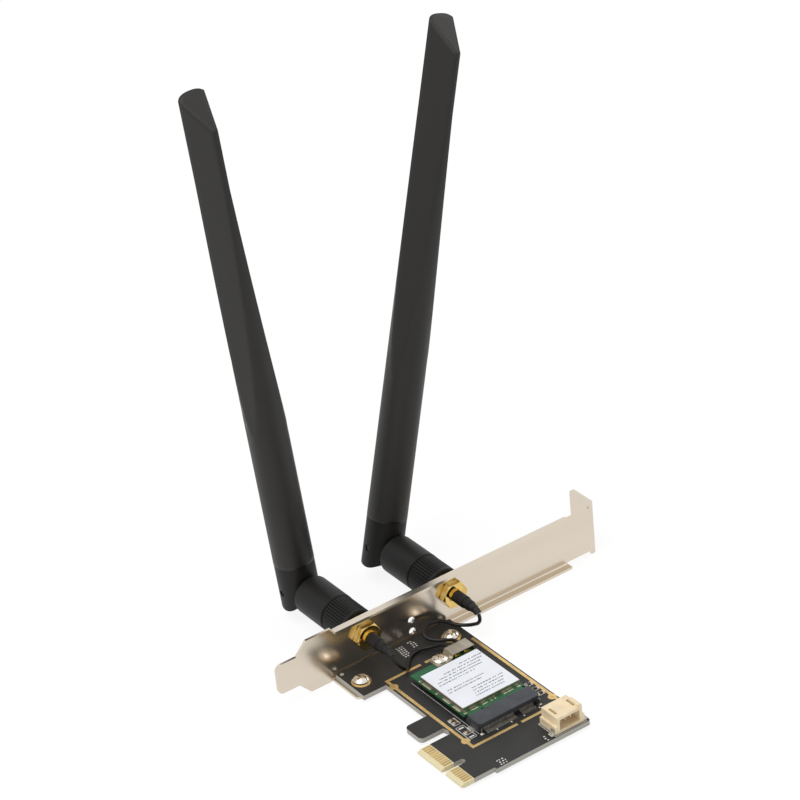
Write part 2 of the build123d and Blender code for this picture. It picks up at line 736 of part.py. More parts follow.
def coax_plug(x):
    low = MODULE_TOP + COAX_BASE_T + COAX_CAP_GAP
    cap = disc(COAX_CAP_R, x, COAX_Y, low, low + COAX_CAP_H)
    cap -= disc(COAX_POST_R + COAX_CAP_GAP, x, COAX_Y, low, low + COAX_POST_H)
    barrel = Plane(origin=(x, COAX_Y + COAX_CAP_R / 2, COAX_Z), z_dir=(0, 1, 0)).location
    length = COAX_END_Y - COAX_Y - COAX_CAP_R / 2
    crimp = barrel * Cylinder(COAX_CRIMP_R, length, align=(Align.CENTER, Align.CENTER, Align.MIN))
    crimp -= disc(COAX_POST_R + COAX_CAP_GAP, x, COAX_Y, low - COAX_CAP_H, low + COAX_POST_H)
    seat = COAX_BASE / 2 + COAX_CAP_GAP
    crimp -= block((x - seat, COAX_Y - seat, MODULE_TOP), (x + seat, COAX_Y + seat, low))
    return cap + crimp


# Cable header
def header_housing():
    half = HEADER_W / 2
    upper = half - HEADER_STEP
    low_x, high_x = HEADER_X - upper, HEADER_X + upper
    top = FACE + HEADER_H
    body = block((low_x, HEADER_FAR_Y, FACE), (high_x, HEADER_NEAR_Y, top))
    body += block((HEADER_X - half, HEADER_FAR_Y, FACE), (HEADER_X + half, HEADER_NEAR_Y, FACE + HEADER_STEP_H))
    body -= block(
        (low_x + HEADER_WALL, HEADER_FAR_Y, FACE + HEADER_FLOOR),
        (high_x - HEADER_WALL, HEADER_NEAR_Y - HEADER_BACK, top - HEADER_ROOF),
    )
    slot_y = HEADER_FAR_Y + HEADER_SLOT_Y
    for x in (low_x + HEADER_WALL, high_x - HEADER_WALL - HEADER_SLOT_W):
        body -= block((x, slot_y, top - HEADER_ROOF), (x + HEADER_SLOT_W, slot_y + HEADER_SLOT_L, top))
    ear_y = HEADER_FAR_Y + HEADER_EAR_L
    ear = block((high_x - HEADER_EAR_W, HEADER_FAR_Y, top), (high_x, ear_y, top + HEADER_EAR_H))
    ear = fillet(ear.edges().group_by(Axis.Z)[-1], HEADER_EAR_R)
    body += ear
    for i in range(PIN_COUNT):
        x = HEADER_X + (i - (PIN_COUNT - 1) / 2) * PIN_PITCH
        body -= header_pin(x)
    return body


def header_pin(x):
    """One bent square pin with its solder tail."""
    half = PIN_W / 2
    tip_y = HEADER_FAR_Y + PIN_FREE
    heel_y = HEADER_NEAR_Y + PIN_W
    pin = block((x - half, tip_y, FACE + PIN_Z - half), (x + half, heel_y, FACE + PIN_Z + half))
    pin += block((x - half, HEADER_NEAR_Y, FACE), (x + half, heel_y, FACE + PIN_Z + half))
    tail_y = HEADER_NEAR_Y + PIN_TAIL_L
    return pin + block((x - half, HEADER_NEAR_Y, FACE), (x + half, tail_y, FACE + half))


def header_pins():
    spots = [HEADER_X + (i - (PIN_COUNT - 1) / 2) * PIN_PITCH for i in range(PIN_COUNT)]
    return [header_pin(x) for x in spots]


def header_tabs():
    """The solder tabs that hold the housing's front corners to the board."""
    low_y = HEADER_FAR_Y + HEADER_TAB_Y
    tabs = []
    for end in (-1, 1):
        wall = HEADER_X + end * HEADER_W / 2
        skin = wall + end * HEADER_TAB_T
        toe = wall + end * HEADER_TAB_FOOT
        upright = block(
            (min(wall, skin), low_y, FACE),
            (max(wall, skin), low_y + HEADER_TAB_L, FACE + HEADER_TAB_H),
        )
        foot = block(
            (min(wall, toe), low_y, FACE),
            (max(wall, toe), low_y + HEADER_TAB_L, FACE + HEADER_TAB_T),
        )
        tabs.append(upright + foot)
    return tabs


def chip_parts():
    return [
        block((CHIP_X - CHIP_L / 2, y - CHIP_W / 2, FACE), (CHIP_X + CHIP_L / 2, y + CHIP_W / 2, FACE + CHIP_H))
        for y in CHIP_Y
    ]


# Aerial jacks
def jack_body():
    """Local Z 0 is the plate's inner face: hex and crimp below it, threaded barrel above."""
    body = hex_blank(-JACK_HEX_T, 0)
    neck = -JACK_HEX_T - JACK_NECK_L
    body += turned(
        (0, neck - JACK_CRIMP_L),
        (JACK_CRIMP_R, neck - JACK_CRIMP_L),
        (JACK_CRIMP_R, neck),
        (JACK_NECK_R, neck),
        (JACK_NECK_R, -JACK_HEX_T),
        (JACK_R, -JACK_HEX_T / 2),
        (JACK_R, JACK_L),
        (0, JACK_L),
    )
    body -= turned(
        (0, 0),
        (JACK_CORE_R, 0),
        (JACK_CORE_R, JACK_L - JACK_BORE_L),
        (JACK_BORE_R, JACK_L - JACK_BORE_L),
        (JACK_BORE_R, JACK_L),
        (0, JACK_L),
    )
    return body


def jack_insulator():
    return turned(
        (JACK_PIN_R, 0),
        (JACK_CORE_R, 0),
        (JACK_CORE_R, JACK_L - JACK_BORE_L),
        (JACK_PIN_R, JACK_L - JACK_BORE_L),
    )


def jack_pin():
    tip = JACK_L - JACK_BORE_L + JACK_PIN_OUT
    return turned(
        (0, tip - JACK_PIN_L),
        (JACK_PIN_R, tip - JACK_PIN_L),
        (JACK_PIN_R, tip - JACK_PIN_R),
        (JACK_PIN_R / 2, tip),
        (0, tip),
    )


def jack_washer():
    return turned(
        (JACK_R, SHEET_T),
        (WASHER_R, SHEET_T),
        (WASHER_R, SHEET_T + WASHER_T),
        (JACK_R, SHEET_T + WASHER_T),
    )


def jack_nut():
    low = SHEET_T + WASHER_T
    return hex_blank(low, low + NUT_T) - disc(JACK_R, 0, 0, low, low + NUT_T)


def jack_sleeve():
    """Heat-shrink over the crimp, drawn in round the cable, with its tip hanging down."""
    start = -SLEEVE_START
    crimp_end = start - JACK_CRIMP_L
    shoulder = start - SLEEVE_L
    sleeve = turned(
        (JACK_CRIMP_R, start),
        (SLEEVE_R, start),
        (SLEEVE_R, shoulder),
        (SLEEVE_WAIST_R, -SLEEVE_WAIST),
        (0, -SLEEVE_WAIST),
        (0, crimp_end),
        (JACK_CRIMP_R, crimp_end),
    )
    sections = []
    for share in (0, 0.5, 1):
        turn = DROOP * share
        middle = (0, DROOP_R * (1 - cos(turn)), -SLEEVE_WAIST - DROOP_R * sin(turn))
        across = Plane(origin=middle, x_dir=(1, 0, 0), z_dir=(0, sin(turn), -cos(turn)))
        sections.append(across * Circle(SLEEVE_WAIST_R + share * (SLEEVE_TIP_R - SLEEVE_WAIST_R)))
    return sleeve + loft(sections)


# Coax pigtails
def route_radii(points):
    """The bend radius at each inner point, from the shorter run beside it and the turn there."""
    radii = []
    for before, here, after in zip(points, points[1:], points[2:]):
        a = Vector(*here) - Vector(*before)
        b = Vector(*after) - Vector(*here)
        turn = a.get_angle(b)
        radii.append(BEND_SHARE * min(a.length, b.length) / tan(radians(turn) / 2))
    return radii


def pigtail(side):
    jack_x = JACK_SPOTS[side]
    plug_x = COAX_SPOTS[side]
    leaving = [(jack_x, SLEEVE_TIP_Y, SLEEVE_TIP_Z), (jack_x, EXIT_Y, EXIT_Z)]
    arriving = [(plug_x, COAX_END_Y + COAX_ENTRY_L, COAX_Z), (plug_x, COAX_END_Y, COAX_Z)]
    points = leaving + ROUTES[side] + arriving
    radii = route_radii(points)
    line = FilletPolyline(*points, radius=radii)
    print("pigtail", side, "radii", [round(r, 1) for r in radii], "length", round(line.length, 1))
    start = Plane(origin=line @ 0, z_dir=line % 0)
    tube = sweep(start * Circle(COAX_D / 2), path=line)
    print("pigtail", side, "volume share", round(tube.volume / (line.length * pi * (COAX_D / 2) ** 2), 3))
    return tube


# Antennas, on the jack's axis: local Z 0 is the plate's inner face
def coupling_sleeve():
    """The knurled grip over the threaded insert, with a smooth rim at the card's end."""
    back = COUPLING_END - COUPLING_BACK
    grip = turned(
        (INSERT_R, COUPLING_START),
        (COUPLING_R - KNURL_DEPTH, COUPLING_START),
        (COUPLING_R, COUPLING_START + KNURL_DEPTH),
        (COUPLING_R, COUPLING_END - KNURL_DEPTH),
        (COUPLING_R - KNURL_DEPTH, COUPLING_END),
        (COUPLING_HOLE_R, COUPLING_END),
        (COUPLING_HOLE_R, back),
        (COUPLING_RELIEF_R, back),
        (COUPLING_RELIEF_R, JACK_L),
        (INSERT_R, JACK_L),
    )
    groove_w = 2 * pi * COUPLING_R / KNURLS * KNURL_SHARE
    groove = make_face(Polyline(
        (COUPLING_R - KNURL_DEPTH, 0),
        (COUPLING_R + KNURL_DEPTH, -groove_w),
        (COUPLING_R + KNURL_DEPTH, groove_w),
        close=True,
    ))
    knurl_low = COUPLING_START + COUPLING_RIM
    cutter = Pos(0, 0, knurl_low) * extrude(groove, COUPLING_END - knurl_low)
    return grip - [Rot(0, 0, i * 360 / KNURLS) * cutter for i in range(KNURLS)]


def coupling_insert():
    start = COUPLING_START + INSERT_FRONT
    return turned(
        (JACK_R + RUN_CLEAR, start),
        (INSERT_R, start),
        (INSERT_R, JACK_L),
        (JACK_R + RUN_CLEAR, JACK_L),
    )


def plug_ferrule():
    """The plug's shell: a nose in the jack's bore, a collar behind the coupling and a stem in the base."""
    collar = JACK_L + FERRULE_GAP
    nose = collar - FERRULE_GAP - FERRULE_NOSE_L
    stem = BASE_START + FERRULE_STEM_L
    return turned(
        (FERRULE_BORE_R, nose),
        (FERRULE_NOSE_R, nose),
        (FERRULE_NOSE_R, collar),
        (FERRULE_COLLAR_R, collar),
        (FERRULE_COLLAR_R, collar + FERRULE_COLLAR_T),
        (FERRULE_STEM_R, collar + FERRULE_COLLAR_T),
        (FERRULE_STEM_R, stem),
        (FERRULE_BORE_R, stem),
    )


def plug_insulator():
    nose = JACK_L - FERRULE_NOSE_L
    stem = BASE_START + FERRULE_STEM_L
    return turned(
        (CONTACT_R, nose),
        (FERRULE_BORE_R, nose),
        (FERRULE_BORE_R, stem),
        (CONTACT_R, stem),
    )


def plug_contact():
    nose = JACK_L - FERRULE_NOSE_L
    stem = BASE_START + FERRULE_STEM_L
    return turned(
        (CONTACT_BORE_R, nose),
        (CONTACT_R, nose),
        (CONTACT_R, stem),
        (0, stem),
        (0, nose + CONTACT_BORE_L),
        (CONTACT_BORE_R, nose + CONTACT_BORE_L),
    )


# Antenna knuckle, in the pivot's frame: X is the pin, Y the jack's axis, Z the mast
def swivel_base():
    """The smooth sleeve that turns on the plug, with the tongue that the fork straddles."""
    shoulder = -FORK_DOWN - SHOULDER_GAP
    start = BASE_START - PIVOT_OUT
    axis = Plane(origin=(0, start, 0), x_dir=(1, 0, 0), z_dir=(0, 1, 0)).location
    length = shoulder - start
    barrel = turned(
        (FERRULE_STEM_R, 0),
        (BASE_R - KNURL_DEPTH, 0),
        (BASE_R, KNURL_DEPTH),
        (BASE_R, length),
        (0, length),
        (0, FERRULE_STEM_L),
        (FERRULE_STEM_R, FERRULE_STEM_L),
    )
    end_edge = barrel.edges().filter_by(GeomType.CIRCLE).sort_by(Axis.Z)[-1]
    barrel = fillet(end_edge, BASE_END_R)
    half = TONGUE_W / 2
    tongue = block((-half, shoulder, -TONGUE_R), (half, 0, TONGUE_R))
    tongue += Rot(0, 90, 0) * Cylinder(TONGUE_R, TONGUE_W)
    bore = Rot(0, 90, 0) * Cylinder(HINGE_R + HINGE_CLEAR, 2 * TONGUE_W)
    return axis * barrel + tongue - bore


def hinge_pin():
    return Rot(0, 90, 0) * Cylinder(HINGE_R, 2 * (BASE_R - HINGE_RECESS))


def mast_fork():
    """The knuckle's fork: round where it passes the base, square with a rounded corner on the far side."""
    outline = [
        Line((-BASE_R, FORK_UP), (-BASE_R, 0)),
        TangentArc((-BASE_R, 0), (0, -FORK_DOWN), tangent=(0, -1)),
        Line((0, -FORK_DOWN), (BASE_R - FORK_CORNER_R, -FORK_DOWN)),
        TangentArc(
            (BASE_R - FORK_CORNER_R, -FORK_DOWN),
            (BASE_R, -FORK_DOWN + FORK_CORNER_R),
            tangent=(1, 0),
        ),
        Line((BASE_R, -FORK_DOWN + FORK_CORNER_R), (BASE_R, FORK_UP)),
        Line((BASE_R, FORK_UP), (-BASE_R, FORK_UP)),
    ]
    profile = extrude(Plane.YZ * make_face(outline), BASE_R, both=True)
    round_bar = Pos(0, 0, -FORK_DOWN) * Cylinder(
        BASE_R, FORK_UP + FORK_DOWN, align=(Align.CENTER, Align.CENTER, Align.MIN)
    )
    fork = round_bar & profile
    half = TONGUE_W / 2 + TONGUE_CLEAR
    reach = TONGUE_R + TONGUE_CLEAR
    fork -= block((-half, -2 * BASE_R, -2 * FORK_DOWN), (half, reach, reach))
    fork -= Rot(0, 90, 0) * Cylinder(HINGE_R, 4 * BASE_R)
    fork += disc(SPIGOT_R, 0, 0, FORK_UP, FORK_UP + SPIGOT_L)
    return fork - disc(FEED_R, 0, 0, reach, FORK_UP + SPIGOT_L)


def mast_shell():
    """A round rod whose sides become two flats, wide at the back and narrow in front, cut off aslant at the tip."""
    length = MAST_L - FORK_UP
    rod = Pos(0, 0, FORK_UP) * Cone(MAST_R, MAST_TIP_R, length, align=(Align.CENTER, Align.CENTER, Align.MIN))
    top_edge = rod.edges().filter_by(GeomType.CIRCLE).sort_by(Axis.Z)[-1]
    rod = fillet(top_edge, TIP_R)
    full_low = MAST_L - BLADE_FULL_L
    fade_mid = full_low - BLADE_FADE_L / 2
    fade_low = full_low - BLADE_FADE_L
    far = 2 * MAST_R
    over = MAST_L + MAST_R
    flat_line = [
        Line((-BLADE_FLAT, over), (-BLADE_FLAT, full_low)),
        ThreePointArc((-BLADE_FLAT, full_low), (-BLADE_FADE_FLAT, fade_mid), (-MAST_R, fade_low)),
        Line((-MAST_R, fade_low), (-far, fade_low)),
        Line((-far, fade_low), (-far, over)),
        Line((-far, over), (-BLADE_FLAT, over)),
    ]
    cutter = extrude(Plane.YZ * make_face(flat_line), far, both=True)
    for turn in (-BLADE_ANGLE, BLADE_ANGLE):
        rod -= Rot(0, 0, turn) * cutter
    cut_y = MAST_TIP_R - TIP_FACE
    slant = TIP_CUT_DROP / (cut_y + MAST_TIP_R)
    tip_face = make_face(Polyline(
        (cut_y, MAST_L),
        (-far, MAST_L - slant * (cut_y + far)),
        (-far, over),
        (cut_y, over),
        close=True,
    ))
    rod -= extrude(Plane.YZ * tip_face, far, both=True)
    sleeve_top = FORK_UP + SPIGOT_L + RADIATOR_L + BORE_CLEAR
    wire_top = sleeve_top + RADIATOR_WIRE_L
    rod -= disc(RADIATOR_R + BORE_CLEAR, 0, 0, FORK_UP, sleeve_top)
    rod -= disc(RADIATOR_WIRE_R + BORE_CLEAR, 0, 0, FORK_UP, wire_top)
    return rod - disc(SPIGOT_R + SPIGOT_CLEAR, 0, 0, FORK_UP, FORK_UP + SPIGOT_L + SPIGOT_CLEAR)


def feed_coax():
    return disc(FEED_R, 0, 0, TONGUE_R + TONGUE_CLEAR, FORK_UP + SPIGOT_L)


def radiator():
    """The brass sleeve on the spigot and the wire above it."""
    low = FORK_UP + SPIGOT_L
    return Pos(0, 0, low) * turned(
        (0, 0),
        (RADIATOR_R, 0),
        (RADIATOR_R, RADIATOR_L),
        (RADIATOR_WIRE_R, RADIATOR_L),
        (RADIATOR_WIRE_R, RADIATOR_L + RADIATOR_WIRE_L),
        (0, RADIATOR_L + RADIATOR_WIRE_L),
    )


nodes = {
    "bracket": bracket(),
    "carrier_board": carrier_board(),
    "edge_contacts": edge_contacts(),
    "ground_trace": ground_trace(),
    "board_screws": board_screws(),
    "m2_socket": m2_socket(),
    "m2_socket_contacts": m2_socket_contacts(),
    "m2_socket_tabs": m2_socket_tabs(),
    "module_board": module_board(),
    "module_contacts": module_contacts(),
    "module_shield": module_shield(),
    "module_label": module_label(),
    "module_standoff": module_standoff(),
    "module_screw": module_screw(),
    "coax_clip": coax_clip(),
    "header_housing": header_housing(),
    "header_pins": header_pins(),
    "header_tabs": header_tabs(),
    "chip_parts": chip_parts(),
    "jack_washers": [outward(x, PLATE_Y) * jack_washer() for x in JACK_SPOTS.values()],
    "jack_nuts": [outward(x, PLATE_Y) * jack_nut() for x in JACK_SPOTS.values()],
}
for side, jack_x in JACK_SPOTS.items():
    on_axis = outward(jack_x, PLATE_Y)
    nodes["jack_body_" + side] = on_axis * jack_body()
    nodes["jack_insulator_" + side] = on_axis * jack_insulator()
    nodes["jack_pin_" + side] = on_axis * jack_pin()
    nodes["jack_sleeve_" + side] = on_axis * jack_sleeve()
    nodes["pigtail_" + side] = pigtail(side)
    nodes["coax_receptacle_" + side] = coax_receptacle(COAX_SPOTS[side])
    nodes["coax_plug_" + side] = coax_plug(COAX_SPOTS[side])
    nodes["coupling_sleeve_" + side] = on_axis * coupling_sleeve()
    nodes["coupling_insert_" + side] = on_axis * coupling_insert()
    nodes["plug_ferrule_" + side] = on_axis * plug_ferrule()
    nodes["plug_insulator_" + side] = on_axis * plug_insulator()
    nodes["plug_contact_" + side] = on_axis * plug_contact()
    at_pivot = knuckle(side)
    nodes["swivel_base_" + side] = at_pivot * swivel_base()
    nodes["hinge_pin_" + side] = at_pivot * hinge_pin()
    nodes["mast_fork_" + side] = at_pivot * mast_fork()
    nodes["mast_shell_" + side] = at_pivot * mast_shell()
    nodes["feed_coax_" + side] = at_pivot * feed_coax()
    nodes["radiator_" + side] = at_pivot * radiator()

os.makedirs("parts", exist_ok=True)
for name, shape in nodes.items():
    solid = Compound(children=shape) if isinstance(shape, list) else shape
    export_step(solid, "parts/" + name + ".step")
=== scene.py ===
import math
import random

import bmesh
import bpy
from bpy.props import FloatProperty, FloatVectorProperty, IntProperty, PointerProperty
from mathutils import Matrix, Vector


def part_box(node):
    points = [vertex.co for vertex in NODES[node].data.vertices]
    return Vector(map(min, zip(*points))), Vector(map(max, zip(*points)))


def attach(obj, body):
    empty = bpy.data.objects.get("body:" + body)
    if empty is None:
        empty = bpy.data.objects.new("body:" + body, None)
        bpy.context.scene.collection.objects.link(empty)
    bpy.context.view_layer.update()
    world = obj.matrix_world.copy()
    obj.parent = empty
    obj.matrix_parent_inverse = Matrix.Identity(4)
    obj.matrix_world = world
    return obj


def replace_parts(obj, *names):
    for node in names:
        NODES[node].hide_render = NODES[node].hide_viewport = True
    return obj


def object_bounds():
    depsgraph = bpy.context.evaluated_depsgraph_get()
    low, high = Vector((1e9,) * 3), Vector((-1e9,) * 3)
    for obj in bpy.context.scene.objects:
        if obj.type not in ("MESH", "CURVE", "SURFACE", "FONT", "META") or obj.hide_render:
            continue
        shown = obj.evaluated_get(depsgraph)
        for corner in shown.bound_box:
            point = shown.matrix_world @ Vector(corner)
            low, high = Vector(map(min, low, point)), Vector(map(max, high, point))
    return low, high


bl_info = {
    "name": "Wifi card with two swivel antennas",
    "version": (1, 0, 0),
    "blender": (4, 5, 0),
    "location": "View3D > Sidebar > Wifi card",
    "description": "Finishes, aerial leads, print, solder and stage for the packed card",
    "category": "Object",
}

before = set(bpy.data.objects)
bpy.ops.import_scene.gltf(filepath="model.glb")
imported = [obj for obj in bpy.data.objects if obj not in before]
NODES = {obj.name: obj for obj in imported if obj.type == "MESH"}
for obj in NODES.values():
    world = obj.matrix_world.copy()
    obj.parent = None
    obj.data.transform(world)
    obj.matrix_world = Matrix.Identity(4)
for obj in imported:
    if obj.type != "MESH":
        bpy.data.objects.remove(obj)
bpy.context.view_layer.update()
SIDES = ("left", "right")
MM = 0.001

# Heights on the card, in mm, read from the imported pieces
BOARD_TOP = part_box("carrier_board")[1].z / MM
MODULE_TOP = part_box("module_board")[1].z / MM
LABEL_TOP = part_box("module_label")[1].z / MM
FLOOR_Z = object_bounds()[0].z

# The aerial leads' routes from the sleeve's tip to the coax plug, in mm
ROUTES = {
    "left": (
        (15.95, 46.018, 8.176),
        (15.95, 44.989, 6.950),
        (17.3, 44.4, 4.9),
        (19.0, 44.7, 2.6),
        (21.8, 47.0, 1.6),
        (24.8, 50.6, 1.5),
        (29.0, 51.5, 1.6),
        (31.9, 49.1, 2.3),
        (33.5, 47.0, 3.4),
        (34.4, 45.4, 4.07),
        (34.4, 43.0, 4.07),
    ),
    "right": (
        (47.95, 46.018, 8.176),
        (47.95, 45.25, 6.80),
        (47.95, 46.5, 4.6),
        (47.85, 48.9, 3.05),
        (47.2, 50.9, 2.0),
        (44.9, 53.6, 1.75),
        (43.6, 56.0, 2.2),
        (40.4, 56.9, 3.9),
        (35.8, 57.0, 4.5),
        (33.2, 55.5, 4.0),
        (32.9, 52.9, 3.0),
        (34.8, 50.3, 2.6),
        (37.0, 47.9, 3.1),
        (37.9, 45.4, 4.07),
        (37.9, 43.0, 4.07),
    ),
}

# Chip parts by the socket, in mm: each row's x with its ys, then one chip's size and its tinned ends
CHIPS = ((15.9, (9.6, 15.4, 17.1)), (43.2, (10.4, 13.2, 16.2)))
CHIP_WIDTH = 1.0
CHIP_LENGTH = 0.8
CHIP_HEIGHT = 0.5
CHIP_SOFT = 0.05
CHIP_BARE = 0.45

# Plated rings, in mm: the via barrels and the test pads, and how far plating stands proud
VIAS = ((12.95, 6.7), (12.95, 42.1), (44.55, 6.7))
VIA_BORE = 0.16
VIA_RIM = 0.7
VIA_SUNK = 0.02
TEST_PADS = ((5.1, 57.8), (44.3, 58.0))
PAD_BORE = 0.12
PAD_RIM = 0.62
PLATING = 0.06

# Bare laminate between the edge contacts reaches to these, in mm along X and Y
TONGUE_X = 4.5
TONGUE_Y = 14.0

# Print on the carrier board, in mm: frames are two corners, patches are a corner, rows and marks a row
INK = 0.03
INK_LINE = 0.16
MODULE_LINE = (17.9, 23.5, 0.11, 33.4)
PRINT_FRAMES = ((33.4, -9.1, 44.8, -1.0), (14.3, 6.6, 17.0, 13.4))
DASHES = ((15.65, 7.4), (15.65, 12.5))
DASH_SIZE = (1.7, 0.55)
CHIP_FRAME_X = 1.15
CHIP_FRAME_Y = 0.8
SOCKET_TICKS = (23.2, 28.4, 33.0, 38.6)
TICK_Y = 5.1
TICK_SIZE = (0.3, 0.6)
PATCHES = ((24.2, 57.0, 6, 3), (28.8, 57.4, 4, 2), (13.9, -6.7, 3, 3), (30.2, -6.8, 3, 1))
MARK_LENGTH = 0.42

# Print on the label, in mm: each row's y, start and stop
LABEL_INK = 0.015
LABEL_ROWS = (
    (33.6, 31.0, 38.6),
    (32.3, 24.5, 38.4),
    (31.0, 22.0, 36.0),
    (29.7, 20.4, 36.6),
    (28.4, 20.0, 32.5),
    (25.0, 20.4, 33.0),
    (23.7, 20.0, 32.2),
    (21.4, 26.6, 38.0),
    (20.1, 26.2, 37.0),
    (18.8, 25.8, 36.4),
    (17.5, 25.4, 35.6),
)

# Solder on the carrier board, in mm: width, length, height and how far the top is drawn in
CHIP_SOLDER = (0.6, 1.0, 0.25, 0.18)
CHIP_SOLDER_OUT = 0.8
PEG_SOLDER = (1.0, 0.8, 0.4, 0.3)
PEG = (0.34, 0.34, 1.9, 0.05)
PEG_INSET = 0.4
PEG_Y = 6.2
TAIL_SOLDER = (0.3, 0.7, 0.07, 0.05)
TAIL_SOLDER_OUT = 0.12
PIN_SOLDER = (1.0, 1.9, 0.14, 0.1)
PIN_SOLDER_IN = 0.2
TAB_SOLDER_OUT = 0.35
TAB_SOLDER_HEIGHT = 0.22
TAB_SOLDER_SLOPE = 0.16

# The socket's row of tails, with those left out at its key, and the header's row of pins, in mm
TAIL_COUNT = 36
TAIL_KEY = range(22, 26)
TAIL_MIDDLE = 29.1
TAIL_PITCH = 0.5
PIN_COUNT = 4
PIN_MIDDLE = 39.1
PIN_PITCH = 2.0

# Tinned pads on the module's rim, in mm: place and length along each edge
RIM_SIDE_X = 18.4
RIM_SIDE_WIDTH = 0.4
RIM_SIDE_PADS = ((18.2, 3.4), (23.2, 3.2), (28.0, 0.8), (33.0, 4.2), (36.2, 0.8))
RIM_END_Y = 14.75
RIM_END_WIDTH = 0.42
RIM_END_PADS = (
    (19.2, 1.0),
    (22.5, 2.6),
    (26.3, 1.9),
    (28.6, 0.6),
    (30.0, 0.6),
    (33.6, 1.2),
    (35.6, 2.2),
    (38.6, 1.2),
)
RIM_SLOPE = 0.05

# The module socket in mm: depths are taken back from its front face, heights up from the board
SOCKET_ROOF = 5.8
SOCKET_WALL = 4.2
SOCKET_CHAMFER = 0.9
SOCKET_SOFT = 0.14
SOCKET_LIFT = 0.06
SOCKET_SEAT = 1.9
SOCKET_TAIL_ROOM = 1.3
SOCKET_LEG_WIDTH = 0.9
SOCKET_LEG_LENGTH = 4.4
SOCKET_LEG_Y = 3.1
SOCKET_STEP_INSET = 1.0
SOCKET_STEP_HEIGHT = 1.5

# Heat-shrink boots on the jacks, in mm and radians
SLEEVE_R = 1.95
SLEEVE_OVERLAP = 1.3
SLEEVE_BODY = 5.6
SLEEVE_LIP = 0.12
SLEEVE_WALL = 0.5
SLEEVE_RIBS = 9
RIB_START = 0.35
RIB_DEPTH = 0.08
RIB_SLOPE = 0.1
RIB_GROOVE = 0.18
SLEEVE_STEPS = ((2.8, 1.76, 1.68), (1.9, 1.44, 1.28), (0.5, 1.1, 0.98), (1.3, 1.16, 1.12))
SLEEVE_STEP_SLOPE = 0.1
SLEEVE_STEP_GAP = 0.02
SLEEVE_TIP = 2.4
SLEEVE_TIP_SOFT = 0.1
SLEEVE_TIP_BORE = 0.5
SLEEVE_DROOP = math.radians(46)

# Stage, in metres: floor, lamps and the camera's axes
FLOOR_HALF = 6.0
LAMP_TARGET = (0.03, 0.06, 0.05)
KEY_PLACE = (-0.45, 0.05, 1.15)
KEY_SIZE = 0.9
FILL_PLACE = (0.85, 0.15, 0.75)
FILL_SIZE = 0.7
CAMERA_RIGHT = (0.8084, -0.5821, -0.0869)
CAMERA_AHEAD = (0.4655, 0.7227, -0.5109)
CAMERA_REACH = 20.0
SENSOR_MM = 36.0


def linear(code):
    """A six-figure sRGB hex colour as linear red, green and blue."""
    channels = [int(code[i : i + 2], 16) / 255 for i in (0, 2, 4)]
    return tuple(c / 12.92 if c <= 0.04045 else ((c + 0.055) / 1.055) ** 2.4 for c in channels)


def rgba(colour):
    return (*colour, 1.0)


def put(tree, kind, values=None, links=None, stops=None, **settings):
    """Adds one node with its settings, socket values, colour stops and links from output sockets."""
    node = tree.nodes.new(kind)
    for key, value in settings.items():
        setattr(node, key, value)
    for socket, value in (values or {}).items():
        node.inputs[socket].default_value = value
    for socket, source in (links or {}).items():
        tree.links.new(source, node.inputs[socket])
    if stops:
        ramp = node.color_ramp.elements
        while len(ramp) < len(stops):
            ramp.new(1.0)
        for element, (place, colour) in zip(ramp, stops):
            element.position = place
            element.color = rgba(colour)
    return node


def surface(name, tones, rough, patch, grain, depth, metallic=0.0, stretch=(1, 1, 1), blur=0.0, **sockets):
    """A finish of two mottled tones with varying roughness and a grain bump, in mm; blur rounds its edges."""
    material = bpy.data.materials.new(name)
    material.use_nodes = True
    tree = material.node_tree
    shader = tree.nodes["Principled BSDF"]
    shader.inputs["Metallic"].default_value = metallic
    for socket, value in sockets.items():
        shader.inputs[socket.replace("_", " ")].default_value = value
    place = put(tree, "ShaderNodeTexCoord").outputs["Object"]
    mapped = put(tree, "ShaderNodeMapping", {"Scale": stretch}, {"Vector": place}).outputs[0]
    clouds = put(tree, "ShaderNodeTexNoise", {"Scale": 1 / (patch * MM), "Detail": 4.0}, {"Vector": mapped})
    stops = ((0.35, tones[0]), (0.65, tones[1]))
    tone = put(tree, "ShaderNodeValToRGB", links={"Fac": clouds.outputs[0]}, stops=stops)
    tree.links.new(tone.outputs[0], shader.inputs["Base Color"])
    smear = put(tree, "ShaderNodeTexNoise", {"Scale": 0.4 / (patch * MM), "Detail": 6.0}, {"Vector": mapped})
    gloss = put(
        tree,
        "ShaderNodeMapRange",
        {"From Min": 0.3, "From Max": 0.7, "To Min": rough[0], "To Max": rough[1]},
        {"Value": smear.outputs[0]},
    )
    tree.links.new(gloss.outputs[0], shader.inputs["Roughness"])
    pits = put(tree, "ShaderNodeTexNoise", {"Scale": 1 / (grain * MM), "Detail": 2.0}, {"Vector": mapped})
    bump = put(
        tree,
        "ShaderNodeBump",
        {"Strength": 1.0, "Distance": depth * MM},
        {"Height": pits.outputs[0]},
    )
    tree.links.new(bump.outputs[0], shader.inputs["Normal"])
    if blur:
        rounded = put(tree, "ShaderNodeBevel", {"Radius": blur * MM}, samples=8)
        tree.links.new(rounded.outputs[0], bump.inputs["Normal"])
    return material


def paint_zone(material, mask, colour, rough):
    """Lays one colour over a finish wherever the mask is 1."""
    tree = material.node_tree
    shader = tree.nodes["Principled BSDF"]
    under = shader.inputs["Base Color"].links[0].from_socket
    mix = put(tree, "ShaderNodeMix", {7: rgba(colour)}, {0: mask, 6: under}, data_type="RGBA")
    tree.links.new(mix.outputs[2], shader.inputs["Base Color"])
    sheen = shader.inputs["Roughness"].links[0].from_socket
    dull = put(tree, "ShaderNodeMix", {3: rough}, {0: mask, 2: sheen})
    tree.links.new(dull.outputs[0], shader.inputs["Roughness"])


